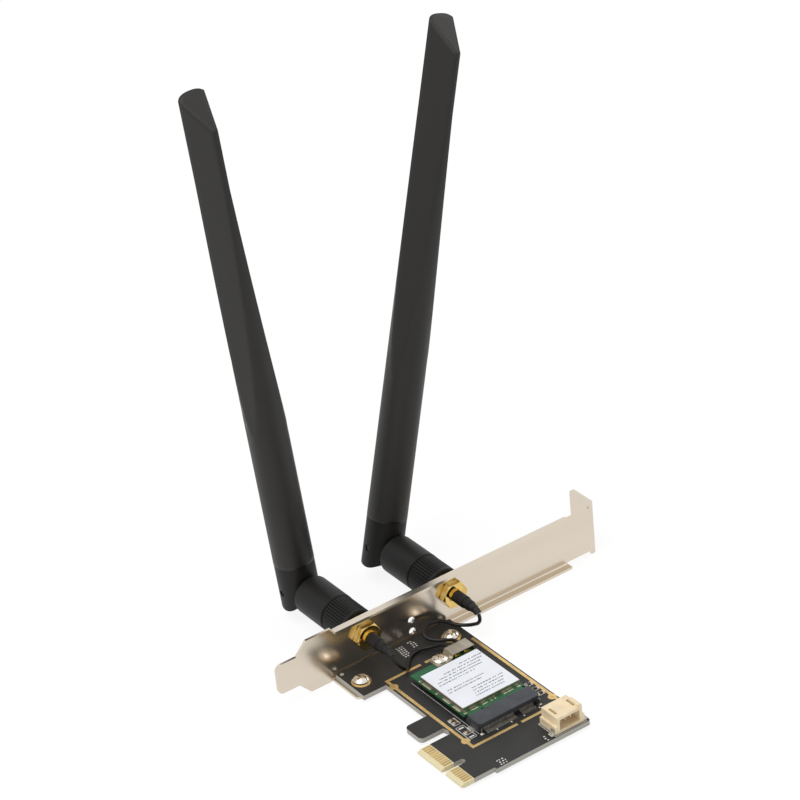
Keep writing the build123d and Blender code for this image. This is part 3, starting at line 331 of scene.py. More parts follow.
def shown_rays(tree):
    """1 for the rays that show a background: to the eye, in a reflection or through glass."""
    rays = put(tree, "ShaderNodeLightPath").outputs
    seen = rays["Is Camera Ray"]
    for kind in ("Is Glossy Ray", "Is Transmission Ray"):
        seen = put(tree, "ShaderNodeMath", links={0: seen, 1: rays[kind]}, operation="MAXIMUM").outputs[0]
    return seen


def coordinate(tree, source, axis):
    """One axis of the object's place or normal, in metres or as a share."""
    place = put(tree, "ShaderNodeTexCoord").outputs[source]
    return put(tree, "ShaderNodeSeparateXYZ", links={0: place}).outputs[axis]


def dress(material, *names):
    """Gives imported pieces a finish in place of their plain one."""
    for name in names:
        slots = NODES[name].data.materials
        slots.clear()
        slots.append(material)


def soften(width, *names):
    """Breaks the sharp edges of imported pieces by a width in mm, as moulding and plating do."""
    for name in names:
        bevel = NODES[name].modifiers.new("broken_edge", "BEVEL")
        bevel.width = width * MM
        bevel.segments = 2
        bevel.limit_method = "ANGLE"
        bevel.angle_limit = math.radians(35)


def both(*names):
    return [name + "_" + side for name in names for side in SIDES]


def piece(name, bm, material, body="card"):
    """Turns a bmesh into a piece that rides on a body."""
    mesh = bpy.data.meshes.new(name)
    bmesh.ops.recalc_face_normals(bm, faces=bm.faces)
    bm.to_mesh(mesh)
    bm.free()
    mesh.materials.append(material)
    obj = bpy.data.objects.new(name, mesh)
    bpy.context.scene.collection.objects.link(obj)
    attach(obj, body)
    return obj


def add_plate(bm, x, y, width, length, low, high, shrink=0.0):
    """A thin plate in mm about (x, y), with its top drawn in by shrink."""
    rings = []
    for z, inset in ((low, 0.0), (high, shrink)):
        half_x = width / 2 - inset
        half_y = length / 2 - inset
        corners = ((-half_x, -half_y), (half_x, -half_y), (half_x, half_y), (-half_x, half_y))
        rings.append([bm.verts.new(((x + dx) * MM, (y + dy) * MM, z * MM)) for dx, dy in corners])
    bm.faces.new(rings[0])
    bm.faces.new(rings[1])
    for i in range(4):
        j = (i + 1) % 4
        bm.faces.new((rings[0][i], rings[0][j], rings[1][j], rings[1][i]))


def add_frame(bm, x0, y0, x1, y1):
    """A printed frame in mm on the carrier board between two corners."""
    top = BOARD_TOP + INK
    for x in (x0, x1):
        add_plate(bm, x, (y0 + y1) / 2, INK_LINE, abs(y1 - y0) + INK_LINE, BOARD_TOP, top)
    for y in (y0, y1):
        add_plate(bm, (x0 + x1) / 2, y, abs(x1 - x0) + INK_LINE, INK_LINE, BOARD_TOP, top)


def add_solder(bm, x, y, width, length, height, slope):
    """A solder fillet in mm on the carrier board."""
    add_plate(bm, x, y, width, length, BOARD_TOP, BOARD_TOP + height, slope)


def add_prism(bm, outline, low, high, soft=0.0):
    """An upright prism in mm on a convex outline that runs anticlockwise, with its top rim broken by soft."""
    count = len(outline)
    spots = [Vector(spot) for spot in outline]
    inset = []
    for i, spot in enumerate(spots):
        to_spot = (spot - spots[i - 1]).normalized()
        onward = (spots[(i + 1) % count] - spot).normalized()
        inward = (to_spot.orthogonal() + onward.orthogonal()).normalized()
        inset.append(spot + inward * soft / max(0.3, inward.dot(onward.orthogonal())))
    levels = ((spots, low), (spots, high - soft), (inset, high))
    rings = [[bm.verts.new((p.x * MM, p.y * MM, z * MM)) for p in ring] for ring, z in levels]
    bm.faces.new(rings[0])
    bm.faces.new(rings[-1])
    for ring, above in zip(rings, rings[1:]):
        for i in range(count):
            j = (i + 1) % count
            bm.faces.new((ring[i], ring[j], above[j], above[i]))


def add_ring(bm, x, y, inner, outer, low, high, sides=36):
    """A flat ring in mm with a softened outer rim."""
    soft = min(0.4 * (high - low), 0.3 * (outer - inner))
    profile = ((inner, low), (outer, low), (outer, high - soft), (outer - soft, high), (inner, high))
    turns = [2 * math.pi * i / sides for i in range(sides)]
    loops = []
    for radius, z in profile:
        spots = [(x + radius * math.cos(t), y + radius * math.sin(t), z) for t in turns]
        loops.append([bm.verts.new([MM * c for c in spot]) for spot in spots])
    for ring, above in zip(loops, loops[1:] + loops[:1]):
        for i in range(sides):
            j = (i + 1) % sides
            bm.faces.new((ring[i], ring[j], above[j], above[i]))


def add_sleeve(bm, node, sides=40):
    """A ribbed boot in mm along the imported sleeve: a body, drawn steps and a tip that hangs down."""
    low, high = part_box(node)
    x = (low.x + high.x) / 2 / MM
    start = high.y / MM + SLEEVE_OVERLAP
    axis_z = high.z / MM - SLEEVE_R
    groove = SLEEVE_R - RIB_DEPTH
    profile = [(0.0, SLEEVE_R - SLEEVE_WALL), (0.0, groove), (SLEEVE_LIP, SLEEVE_R)]
    for i in range(SLEEVE_RIBS):
        along = RIB_START + i * SLEEVE_BODY / SLEEVE_RIBS
        floor_from = along + RIB_SLOPE
        floor_to = floor_from + RIB_GROOVE
        profile += [(along, SLEEVE_R), (floor_from, groove)]
        profile += [(floor_to, groove), (floor_to + RIB_SLOPE, SLEEVE_R)]
    along = SLEEVE_BODY
    for length, near_r, far_r in SLEEVE_STEPS:
        profile.append((along, profile[-1][1]))
        profile += [(along + SLEEVE_STEP_SLOPE, near_r), (along + length - SLEEVE_STEP_GAP, far_r)]
        along += length
    profile += [(along, profile[-1][1] - SLEEVE_TIP_SOFT), (along, SLEEVE_TIP_BORE)]
    bend_from = along - SLEEVE_TIP
    bend_r = SLEEVE_TIP / SLEEVE_DROOP
    loops = []
    for along, radius in profile:
        turn = max(0.0, along - bend_from) / bend_r
        back = min(along, bend_from) + bend_r * math.sin(turn)
        drop = bend_r * (1 - math.cos(turn))
        loop = []
        for i in range(sides):
            t = 2 * math.pi * i / sides
            rise = radius * math.sin(t)
            y = start - back - rise * math.sin(turn)
            z = axis_z - drop + rise * math.cos(turn)
            loop.append(bm.verts.new((MM * (x + radius * math.cos(t)), MM * y, MM * z)))
        loops.append(loop)
    for ring, ahead in zip(loops, loops[1:]):
        for i in range(sides):
            j = (i + 1) % sides
            bm.faces.new((ring[i], ring[j], ahead[j], ahead[i]))
    bm.faces.new(loops[0])
    bm.faces.new(loops[-1])


class CardColours(bpy.types.PropertyGroup):
    """Colours of the card's and antennas' finishes."""

    solder_mask: FloatVectorProperty(
        name="Solder mask",
        description="Black mask on the carrier board",
        subtype="COLOR",
        default=linear("262524"),
    )
    laminate: FloatVectorProperty(
        name="Laminate edge",
        description="Sawn glass laminate at the board's edge",
        subtype="COLOR",
        default=linear("b5b2aa"),
    )
    bare_laminate: FloatVectorProperty(
        name="Bare laminate",
        description="Unmasked laminate between the edge contacts",
        subtype="COLOR",
        default=linear("e8dcb2"),
    )
    gold: FloatVectorProperty(
        name="Gold plating",
        description="Gold on the contacts and ground trace",
        subtype="COLOR",
        default=linear("ecc988"),
    )
    nickel: FloatVectorProperty(
        name="Nickel plating",
        description="Nickel on the bracket",
        subtype="COLOR",
        default=linear("d6cbbb"),
    )
    module_mask: FloatVectorProperty(
        name="Module mask",
        description="Green mask on the radio module",
        subtype="COLOR",
        default=linear("275b3a"),
    )
    label: FloatVectorProperty(
        name="Label",
        description="White film of the label",
        subtype="COLOR",
        default=linear("f3f5fb"),
    )
    nylon: FloatVectorProperty(
        name="Header nylon",
        description="Natural nylon of the cable header",
        subtype="COLOR",
        default=linear("fae5c0"),
    )
    antenna: FloatVectorProperty(
        name="Antenna",
        description="Matt black moulding of the antennas",
        subtype="COLOR",
        default=linear("141312"),
    )


class LeadSizes(bpy.types.PropertyGroup):
    """Sizes of the two aerial leads."""

    diameter: FloatProperty(
        name="Diameter",
        description="Outside diameter of the coax",
        default=0.00113,
        min=0.0005,
        unit="LENGTH",
    )
    smoothness: IntProperty(
        name="Smoothness", description="Steps between two route points", default=10, min=4
    )


class StageSettings(bpy.types.PropertyGroup):
    """Camera, lamps and floor."""

    lens: FloatProperty(
        name="Lens", description="Focal length on a 36 mm sensor", default=138.52, unit="CAMERA"
    )
    eye: FloatVectorProperty(
        name="Eye", description="Camera place", subtype="TRANSLATION", default=(-0.3777, -0.5835, 0.53684)
    )
    key_power: FloatProperty(
        name="Key", description="Power of the large overhead lamp", default=7.6, unit="POWER"
    )
    fill_power: FloatProperty(name="Fill", description="Power of the side lamp", default=1.5, unit="POWER")
    sky: FloatProperty(name="Sky", description="Strength of the even light all round", default=0.5, min=0)
    paper_glow: FloatProperty(
        name="Paper", description="Brightness of the paper to the eye", default=1.04, min=0
    )
    shadow_share: FloatProperty(
        name="Shadow",
        description="How much of the floor's shadow shows",
        default=0.16,
        min=0,
        max=1,
        subtype="FACTOR",
    )


class WIFICARD_OT_bracket(bpy.types.Operator):
    """Nickel-plated steel on the bracket and screws"""

    bl_idname = "wificard.bracket"
    bl_label = "Bracket and screws"

    def execute(self, context):
        colours = context.scene.wificard_colours
        warm = tuple(colours.nickel)
        pale = tuple(min(1.0, 1.06 * c) for c in warm)
        # Bright nickel over cold-rolled steel: a soft mirror with faint roll lines along the sheet
        sheet = surface(
            "nickel_plated_steel",
            (warm, pale),
            rough=(0.17, 0.25),
            patch=14.0,
            grain=1.6,
            depth=0.0015,
            metallic=1.0,
            stretch=(0.12, 1, 1),
        )
        dress(sheet, "bracket")
        soften(0.15, "bracket")
        # Barrel-plated screw heads: brighter and a little uneven
        screw = surface(
            "nickel_plated_screw",
            (linear("cfc4b6"), linear("ece4d8")),
            rough=(0.10, 0.2),
            patch=1.2,
            grain=0.5,
            depth=0.006,
            metallic=1.0,
        )
        dress(screw, "board_screws", "module_screw")
        # Hardened pin with a blackened skin
        pin = surface(
            "blackened_steel_pin",
            (linear("1f1e1d"), linear("2b2a28")),
            rough=(0.42, 0.55),
            patch=1.0,
            grain=0.3,
            depth=0.01,
            metallic=0.2,
        )
        dress(pin, *both("hinge_pin"))
        return {"FINISHED"}


class WIFICARD_OT_boards(bpy.types.Operator):
    """Masks, laminate and plating on the carrier board and the radio module"""

    bl_idname = "wificard.boards"
    bl_label = "Boards"

    def execute(self, context):
        colours = context.scene.wificard_colours
        mask_black = tuple(colours.solder_mask)
        mask_soft = tuple(1.25 * c for c in mask_black)
        # Black liquid solder mask over glass cloth: satin, with the cloth's weave just showing through
        carrier = surface(
            "black_solder_mask",
            (mask_black, mask_soft),
            rough=(0.42, 0.55),
            patch=9.0,
            grain=0.7,
            depth=0.006,
            Specular_IOR_Level=0.35,
        )
        tree = carrier.node_tree
        rise = coordinate(tree, "Normal", 2)
        flat = put(tree, "ShaderNodeMath", links={0: rise}, operation="ABSOLUTE").outputs[0]
        edge = put(tree, "ShaderNodeMath", {1: 0.5}, {0: flat}, operation="LESS_THAN").outputs[0]
        paint_zone(carrier, edge, tuple(colours.laminate), 0.7)
        along = coordinate(tree, "Object", 0)
        bare = put(tree, "ShaderNodeMath", {1: TONGUE_X * MM}, {0: along}, operation="LESS_THAN").outputs[0]
        across = coordinate(tree, "Object", 1)
        near = put(tree, "ShaderNodeMath", {1: TONGUE_Y * MM}, {0: across}, operation="LESS_THAN").outputs[0]
        tongue = put(tree, "ShaderNodeMath", links={0: bare, 1: near}, operation="MULTIPLY").outputs[0]
        paint_zone(carrier, tongue, tuple(colours.bare_laminate), 0.55)
        dress(carrier, "carrier_board")
        gold = tuple(colours.gold)
        deep = tuple(0.78 * c for c in gold)
        # Hard gold over nickel on the contacts: bright, with fine wiping marks
        contact = surface(
            "hard_gold_contacts",
            (gold, deep),
            rough=(0.22, 0.34),
            patch=2.0,
            grain=0.4,
            depth=0.004,
            metallic=1.0,
            stretch=(0.2, 1, 1),
        )
        dress(contact, "edge_contacts", "module_contacts")
        dress(contact, *both("jack_pin", "coax_receptacle", "plug_contact"))
        # Immersion gold on the open ground trace: satin, a shade deeper where the bath ran thin
        trace = surface(
            "immersion_gold_trace",
            (tuple(0.8 * c for c in gold), gold),
            rough=(0.3, 0.42),
            patch=2.6,
            grain=0.5,
            depth=0.005,
            metallic=0.85,
        )
        dress(trace, "ground_trace")
        bm = bmesh.new()
        for x, y in VIAS:
            add_ring(bm, x, y, VIA_BORE, VIA_RIM, BOARD_TOP - VIA_SUNK, BOARD_TOP + PLATING)
        piece("via_barrels", bm, trace)
        green = tuple(colours.module_mask)
        leaf = tuple(1.35 * c for c in green)
        # Green solder mask over copper pours: paler where copper lies under it
        module = surface(
            "green_solder_mask",
            (green, leaf),
            rough=(0.3, 0.42),
            patch=1.6,
            grain=0.5,
            depth=0.008,
            Specular_IOR_Level=0.4,
        )
        dress(module, "module_board")
        return {"FINISHED"}


class WIFICARD_OT_module(bpy.types.Operator):
    """Shield, label, clip and socket finishes"""

    bl_idname = "wificard.module"
    bl_label = "Module and socket"

    def execute(self, context):
        colours = context.scene.wificard_colours
        # Drawn nickel silver: satin, with the rolling direction along the can
        shield = surface(
            "nickel_silver_sheet",
            (linear("a79e90"), linear("c2bbae")),
            rough=(0.28, 0.4),
            patch=2.5,
            grain=0.35,
            depth=0.006,
            metallic=1.0,
            stretch=(1, 0.15, 1),
        )
        dress(shield, "module_shield", "coax_clip")
        film = tuple(colours.label)
        # Matt polyester film: white with the faintest cloud of print and handling
        label = surface(
            "white_label_film",
            (film, tuple(0.95 * c for c in film)),
            rough=(0.5, 0.62),
            patch=7.0,
            grain=0.6,
            depth=0.004,
        )
        dress(label, "module_label")
        # Glass-filled liquid-crystal polymer: slate grey and slightly mottled by its flow
        socket = surface(
            "slate_polymer",
            (linear("2f3238"), linear("3d4047")),
            rough=(0.45, 0.58),
            patch=3.0,
            grain=0.4,
            depth=0.012,
        )
        low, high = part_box("m2_socket")
        left, right, front, rear = (v / MM for v in (low.x, high.x, low.y, high.y))
        bm = bmesh.new()
        roof = (
            (left + SOCKET_CHAMFER, front),
            (right - SOCKET_CHAMFER, front),
            (right, front + SOCKET_CHAMFER),
            (right, front + SOCKET_ROOF),
            (left, front + SOCKET_ROOF),
            (left, front + SOCKET_CHAMFER),
        )
        wall = [(x, min(y, front + SOCKET_WALL)) for x, y in roof]
        seat = BOARD_TOP + SOCKET_SEAT
        slot_top = MODULE_TOP + SOCKET_LIFT
        add_prism(bm, roof, slot_top, high.z / MM, SOCKET_SOFT)
        add_prism(bm, wall, seat, slot_top)
        for x in (left + SOCKET_LEG_WIDTH / 2, right - SOCKET_LEG_WIDTH / 2):
            add_plate(bm, x, front + SOCKET_LEG_Y, SOCKET_LEG_WIDTH, SOCKET_LEG_LENGTH, BOARD_TOP, seat)
        middle = (left + right) / 2
        between = right - left - 2 * SOCKET_LEG_WIDTH
        depth = SOCKET_WALL - SOCKET_TAIL_ROOM
        add_plate(bm, middle, front + SOCKET_TAIL_ROOM + depth / 2, between, depth, BOARD_TOP, seat)
        step = rear - front - SOCKET_WALL
        width = right - left - SOCKET_STEP_INSET
        add_plate(bm, middle, rear - step / 2, width, step, BOARD_TOP, BOARD_TOP + SOCKET_STEP_HEIGHT)
        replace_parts(piece("socket_housing", bm, socket), "m2_socket")
        # Matt tin on the solder tails and tabs
        tin = surface(
            "matt_tin",
            (linear("b3b0a8"), linear("d6d2c8")),
            rough=(0.3, 0.42),
            patch=0.6,
            grain=0.25,
            depth=0.01,
            metallic=0.6,
        )
        dress(tin, "m2_socket_contacts", "m2_socket_tabs", "header_pins", "header_tabs")
        nylon = tuple(colours.nylon)
        # Natural nylon: cream, a little translucent, with soft flow marks
        header = surface(
            "natural_nylon",
            (nylon, tuple(0.88 * c for c in nylon)),
            rough=(0.42, 0.55),
            patch=3.5,
            grain=0.5,
            depth=0.012,
            Subsurface_Weight=0.15,
            Subsurface_Radius=(0.0012, 0.0008, 0.0004),
            Subsurface_Scale=1.0,
        )
        dress(header, "header_housing")
        soften(0.12, "header_housing")
        soften(0.06, "coax_clip")
        # Sintered ceramic with tinned ends
        chip = surface(
            "chip_ceramic",
            (linear("6b4a33"), linear("8a6647")),
            rough=(0.4, 0.55),
            patch=0.5,
            grain=0.2,
            depth=0.01,
        )
        tree = chip.node_tree
        low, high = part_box("chip_parts")
        middle = (low.x + high.x) / 2
        along = coordinate(tree, "Object", 0)
        off = put(tree, "ShaderNodeMath", {1: middle}, {0: along}, operation="SUBTRACT").outputs[0]
        reach = put(tree, "ShaderNodeMath", links={0: off}, operation="ABSOLUTE").outputs[0]
        bare = CHIP_BARE * MM
        ends = put(tree, "ShaderNodeMath", {1: bare}, {0: reach}, operation="GREATER_THAN").outputs[0]
        paint_zone(chip, ends, linear("c9c5bb"), 0.35)
        dress(chip, "chip_parts")
        # The same ceramic, darker, on the row past the socket's end
        bm = bmesh.new()
        spot, ys = CHIPS[1]
        for y in ys:
            add_plate(bm, spot, y, CHIP_WIDTH, CHIP_LENGTH, BOARD_TOP, BOARD_TOP + CHIP_HEIGHT, CHIP_SOFT)
        dark = surface(
            "dark_chip_ceramic",
            (linear("4a372b"), linear("6b4f3c")),
            rough=(0.4, 0.55),
            patch=0.5,
            grain=0.2,
            depth=0.01,
        )
        piece("far_chips", bm, dark)
        return {"FINISHED"}


class WIFICARD_OT_jacks(bpy.types.Operator):
    """Gold-plated brass, insulators and heat-shrink of the aerial jacks"""

    bl_idname = "wificard.jacks"
    bl_label = "Aerial jacks"

    def execute(self, context):
        # Turned brass with thin gold: deep yellow, bright, with faint turning marks
        brass = surface(
            "gold_plated_brass",
            (linear("cba553"), linear("e9cd84")),
            rough=(0.07, 0.15),
            patch=2.2,
            grain=0.4,
            depth=0.004,
            metallic=1.0,
        )
        dress(brass, "module_standoff", "jack_washers", "jack_nuts")
        dress(brass, *both("jack_body", "coax_plug", "coupling_insert", "plug_ferrule", "radiator"))
        # Turned fluoropolymer: milky white
        ptfe = surface(
            "ptfe_insulator",
            (linear("e9e7e0"), linear("f4f3ee")),
            rough=(0.4, 0.5),
            patch=1.5,
            grain=0.4,
            depth=0.005,
            Subsurface_Weight=0.2,
            Subsurface_Scale=0.001,
        )
        dress(ptfe, *both("jack_insulator", "plug_insulator"))
        # Shrunk polyolefin tube: dark, half matt, drawn into faint rings
        shrink = surface(
            "black_heat_shrink",
            (linear("100f0f"), linear("1c1b1a")),
            rough=(0.4, 0.52),
            patch=1.8,
            grain=0.8,
            depth=0.03,
            Specular_IOR_Level=0.3,
        )
        for side in SIDES:
            bm = bmesh.new()
            add_sleeve(bm, "jack_sleeve_" + side)
            skin = piece("sleeve_skin_" + side, bm, shrink)
            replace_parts(skin, "jack_sleeve_" + side)
        return {"FINISHED"}


class WIFICARD_OT_antennas(bpy.types.Operator):
    """Matt black moulding of the antennas"""

    bl_idname = "wificard.antennas"
    bl_label = "Antennas"

    def execute(self, context):
        black = tuple(context.scene.wificard_colours.antenna)
        worn = tuple(1.3 * c for c in black)
        # Spark-eroded mould finish on black ABS: fine even grain, coarser than the real 0.1 mm to show
        abs_black = surface(
            "matt_black_abs",
            (black, worn),
            rough=(0.46, 0.56),
            patch=16.0,
            grain=0.45,
            depth=0.02,
            stretch=(1, 1, 0.4),
            Specular_IOR_Level=0.24,
        )
        dress(abs_black, *both("coupling_sleeve", "swivel_base", "mast_fork"))
        # The same moulding on the masts, whose flats run into the round without an edge
        mast = surface(
            "matt_black_mast",
            (black, worn),
            rough=(0.46, 0.56),
            patch=16.0,
            grain=0.45,
            depth=0.02,
            stretch=(1, 1, 0.4),
            blur=2.0,
            Specular_IOR_Level=0.45,
            Specular_Tint=(1.0, 0.985, 0.94, 1.0),
        )
        dress(mast, *both("mast_shell"))
        soften(0.25, *both("mast_fork", "mast_shell"))
        # Thin coax inside the knuckle
        jacket = surface(
            "black_coax_jacket",
            (linear("171615"), linear("242322")),
            rough=(0.28, 0.4),
            patch=2.5,
            grain=0.5,
            depth=0.006,
        )
        dress(jacket, *both("feed_coax"))
        return {"FINISHED"}


class WIFICARD_OT_leads(bpy.types.Operator):
    """The two coax leads from the jacks to the radio module"""

    bl_idname = "wificard.leads"
    bl_label = "Aerial leads"

    def execute(self, context):
        sizes = context.scene.wificard_leads
        # Extruded fluoropolymer jacket: black with a narrow gloss line
        jacket = surface(
            "black_lead_jacket",
            (linear("0e0d0d"), linear("191817")),
            rough=(0.36, 0.46),
            patch=2.5,
            grain=0.5,
            depth=0.006,
            Specular_IOR_Level=0.32,
        )
        for side, route in ROUTES.items():
            curve = bpy.data.curves.new("lead_" + side, "CURVE")
            curve.dimensions = "3D"
            spline = curve.splines.new("NURBS")
            spline.points.add(len(route) - 1)
            for point, place in zip(spline.points, route):
                point.co = (*(MM * c for c in place), 1.0)
            spline.order_u = 3
            spline.use_endpoint_u = True
            spline.resolution_u = sizes.smoothness
            curve.bevel_depth = sizes.diameter / 2
            curve.bevel_resolution = 5
            curve.use_fill_caps = True
            curve.materials.append(jacket)
            lead = bpy.data.objects.new("lead_" + side, curve)
            context.scene.collection.objects.link(lead)
            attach(lead, "card")
            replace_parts(lead, "pigtail_" + side)
        return {"FINISHED"}


class WIFICARD_OT_print(bpy.types.Operator):
    """White marks on the carrier board and grey print rows on the label"""

    bl_idname = "wificard.print"
    bl_label = "Print"

    def execute(self, context):
        # Screen-printed epoxy ink: thin, dense and matt
        ink = surface(
            "white_screen_ink",
            (linear("d9d8d3"), linear("f0efea")),
            rough=(0.5, 0.6),
            patch=0.8,
            grain=0.2,
            depth=0.006,
        )
        bm = bmesh.new()
        low = BOARD_TOP
        high = BOARD_TOP + INK
        add_plate(bm, *MODULE_LINE, low, high)
        for corners in PRINT_FRAMES:
            add_frame(bm, *corners)
        for x, y in DASHES:
            add_plate(bm, x, y, *DASH_SIZE, low, high)
        for x, ys in CHIPS:
            for y in ys:
                add_frame(bm, x - CHIP_FRAME_X, y - CHIP_FRAME_Y, x + CHIP_FRAME_X, y + CHIP_FRAME_Y)
        for x in SOCKET_TICKS:
            add_plate(bm, x, TICK_Y, *TICK_SIZE, low, high)
        draw = random.Random(7)
        for x0, y0, rows, count in PATCHES:
            for row in range(rows):
                x = x0 + draw.choice((0.0, 0.25, 0.5))
                for mark in range(count):
                    width = draw.choice((0.38, 0.46, 0.55))
                    add_plate(bm, x + width / 2, y0 - row, width, MARK_LENGTH, low, high)
                    x += width + draw.choice((0.4, 0.55))
        piece("board_marks", bm, ink)
        # Thermal print: soft grey on the white film
        grey = surface(
            "grey_thermal_print",
            (linear("74787f"), linear("8d9199")),
            rough=(0.5, 0.6),
            patch=0.8,
            grain=0.2,
            depth=0.004,
        )
        bm = bmesh.new()
        for y, start, stop in LABEL_ROWS:
            x = start
            while x < stop:
                width = draw.choice((0.3, 0.45, 0.6, 0.9))
                add_plate(bm, x + width / 2, y, width, MARK_LENGTH, LABEL_TOP, LABEL_TOP + LABEL_INK)
                x += width + draw.choice((0.2, 0.2, 0.28, 0.6))
        piece("label_print", bm, grey)
        return {"FINISHED"}


class WIFICARD_OT_solder(bpy.types.Operator):
    """Solder, pads and small parts that lie on the two boards"""

    bl_idname = "wificard.solder"
    bl_label = "Solder and pads"

    def execute(self, context):
        # Reflowed solder: bright grey with a soft frost
        solder = surface(
            "reflowed_solder",
            (linear("b9b5aa"), linear("e1ddd2")),
            rough=(0.2, 0.36),
            patch=0.5,
            grain=0.3,
            depth=0.02,
            metallic=1.0,
        )
        bm = bmesh.new()
        for name in ("m2_socket_tabs", "header_tabs"):
            low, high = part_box(name)
            middle = (low.y + high.y) / 2 / MM
            length = (high.y - low.y) / MM + TAB_SOLDER_OUT
            for x in (low.x / MM, high.x / MM):
                add_solder(bm, x, middle, 2 * TAB_SOLDER_OUT, length, TAB_SOLDER_HEIGHT, TAB_SOLDER_SLOPE)
        for middle, ys in CHIPS:
            for y in ys:
                for x in (middle - CHIP_SOLDER_OUT, middle + CHIP_SOLDER_OUT):
                    add_solder(bm, x, y, *CHIP_SOLDER)
        low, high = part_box("m2_socket")
        for x in (low.x / MM + PEG_INSET, high.x / MM - PEG_INSET):
            add_solder(bm, x, PEG_Y, *PEG_SOLDER)
            add_solder(bm, x, PEG_Y, *PEG)
        tail_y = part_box("m2_socket_contacts")[0].y / MM - TAIL_SOLDER_OUT
        for i in range(TAIL_COUNT):
            if i not in TAIL_KEY:
                x = TAIL_MIDDLE + (i - (TAIL_COUNT - 1) / 2) * TAIL_PITCH
                add_solder(bm, x, tail_y, *TAIL_SOLDER)
        pin_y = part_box("header_pins")[1].y / MM - PIN_SOLDER_IN
        for i in range(PIN_COUNT):
            x = PIN_MIDDLE + (i - (PIN_COUNT - 1) / 2) * PIN_PITCH
            add_solder(bm, x, pin_y, *PIN_SOLDER)
        for x, y in TEST_PADS:
            add_ring(bm, x, y, PAD_BORE, PAD_RIM, BOARD_TOP, BOARD_TOP + PLATING)
        piece("solder_joints", bm, solder)
        # Tinned ground pads along the module's rim
        rim = surface(
            "tinned_rim_pads",
            (linear("cfc7ae"), linear("e8e2cf")),
            rough=(0.3, 0.42),
            patch=0.6,
            grain=0.3,
            depth=0.012,
            metallic=0.7,
        )
        bm = bmesh.new()
        top = MODULE_TOP + PLATING
        for y, length in RIM_SIDE_PADS:
            add_plate(bm, RIM_SIDE_X, y, RIM_SIDE_WIDTH, length, MODULE_TOP, top, RIM_SLOPE)
        for x, width in RIM_END_PADS:
            add_plate(bm, x, RIM_END_Y, width, RIM_END_WIDTH, MODULE_TOP, top, RIM_SLOPE)
        piece("module_rim_pads", bm, rim)
        return {"FINISHED"}


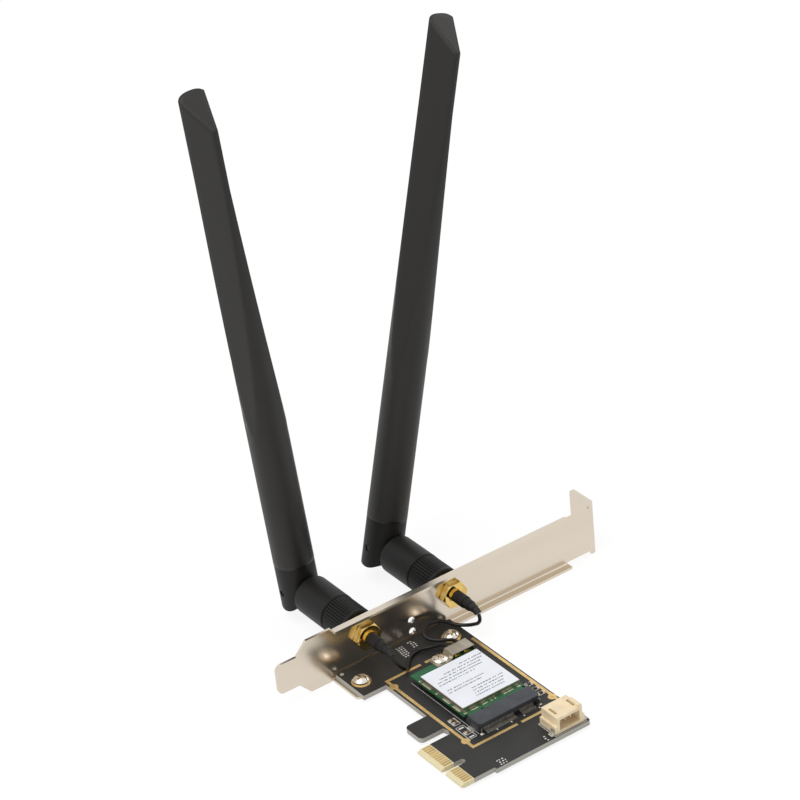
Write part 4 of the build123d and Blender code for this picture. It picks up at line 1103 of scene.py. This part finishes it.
class WIFICARD_OT_stage(bpy.types.Operator):
    """Pale floor, soft lamps and the camera"""

    bl_idname = "wificard.stage"
    bl_label = "Stage"

    def execute(self, context):
        scene = context.scene
        setup = scene.wificard_stage
        scene.view_settings.view_transform = "Standard"
        bm = bmesh.new()
        bmesh.ops.create_grid(bm, x_segments=2, y_segments=2, size=FLOOR_HALF)
        mesh = bpy.data.meshes.new("floor")
        bm.to_mesh(mesh)
        bm.free()
        floor = bpy.data.objects.new("floor", mesh)
        floor.location.z = FLOOR_Z
        scene.collection.objects.link(floor)
        # White sweep paper: seen white, with the card's shadow kept
        paper = bpy.data.materials.new("white_sweep_paper")
        paper.use_nodes = True
        tree = paper.node_tree
        tree.nodes.clear()
        white = 1 - setup.shadow_share
        share = put(tree, "ShaderNodeMath", {1: white}, {0: shown_rays(tree)}, operation="MULTIPLY")
        lit = put(tree, "ShaderNodeBsdfDiffuse", {"Color": rgba(linear("fafafa"))})
        shine = {"Color": rgba(linear("ffffff")), "Strength": setup.paper_glow}
        glow = put(tree, "ShaderNodeEmission", shine)
        layers = {0: share.outputs[0], 1: lit.outputs[0], 2: glow.outputs[0]}
        mixed = put(tree, "ShaderNodeMixShader", links=layers)
        put(tree, "ShaderNodeOutputMaterial", links={"Surface": mixed.outputs[0]})
        mesh.materials.append(paper)
        world = bpy.data.worlds.new("even_light")
        scene.world = world
        world.use_nodes = True
        tree = world.node_tree
        sky = tree.nodes["Background"]
        sky.inputs["Color"].default_value = rgba(linear("ffffff"))
        bright = put(
            tree, "ShaderNodeMapRange", {"To Min": setup.sky, "To Max": 1.0}, {"Value": shown_rays(tree)}
        )
        tree.links.new(bright.outputs[0], sky.inputs["Strength"])
        target = Vector(LAMP_TARGET)
        for name, place, size, power in (
            ("key_lamp", KEY_PLACE, KEY_SIZE, setup.key_power),
            ("fill_lamp", FILL_PLACE, FILL_SIZE, setup.fill_power),
        ):
            lamp = bpy.data.lights.new(name, "AREA")
            lamp.shape = "DISK"
            lamp.size = size
            lamp.energy = power
            obj = bpy.data.objects.new(name, lamp)
            obj.location = place
            obj.rotation_euler = (target - obj.location).to_track_quat("-Z", "Y").to_euler()
            scene.collection.objects.link(obj)
        camera = bpy.data.cameras.new("camera")
        camera.lens = setup.lens
        camera.sensor_width = SENSOR_MM
        camera.clip_end = CAMERA_REACH
        eye = bpy.data.objects.new("camera", camera)
        right = Vector(CAMERA_RIGHT).normalized()
        ahead = Vector(CAMERA_AHEAD).normalized()
        up = right.cross(ahead)
        turn = Matrix((right, up, -ahead)).transposed().to_4x4()
        eye.matrix_world = Matrix.Translation(setup.eye) @ turn
        scene.collection.objects.link(eye)
        scene.camera = eye
        return {"FINISHED"}


STEPS = (
    WIFICARD_OT_stage,
    WIFICARD_OT_leads,
    WIFICARD_OT_bracket,
    WIFICARD_OT_boards,
    WIFICARD_OT_module,
    WIFICARD_OT_jacks,
    WIFICARD_OT_antennas,
    WIFICARD_OT_print,
    WIFICARD_OT_solder,
)


class WIFICARD_PT_panel(bpy.types.Panel):
    """The card's settings and steps"""

    bl_idname = "WIFICARD_PT_panel"
    bl_label = "Wifi card"
    bl_space_type = "VIEW_3D"
    bl_region_type = "UI"
    bl_category = "Wifi card"

    def draw(self, context):
        for name in GROUPS:
            group = getattr(context.scene, name)
            box = self.layout.box()
            for setting in group.__annotations__:
                box.prop(group, setting)
        for step in STEPS:
            self.layout.operator(step.bl_idname)


GROUPS = {
    "wificard_colours": CardColours,
    "wificard_leads": LeadSizes,
    "wificard_stage": StageSettings,
}


def register():
    for cls in (*GROUPS.values(), *STEPS, WIFICARD_PT_panel):
        bpy.utils.register_class(cls)
    for name, group in GROUPS.items():
        setattr(bpy.types.Scene, name, PointerProperty(type=group))


def unregister():
    for name in GROUPS:
        delattr(bpy.types.Scene, name)
    for cls in reversed((*GROUPS.values(), *STEPS, WIFICARD_PT_panel)):
        bpy.utils.unregister_class(cls)


def main():
    register()
    bpy.ops.wificard.stage()
    bpy.ops.wificard.leads()
    bpy.ops.wificard.bracket()
    bpy.ops.wificard.boards()
    bpy.ops.wificard.module()
    bpy.ops.wificard.jacks()
    bpy.ops.wificard.antennas()
    bpy.ops.wificard.print()
    bpy.ops.wificard.solder()


if __name__ == "__main__":
    main()
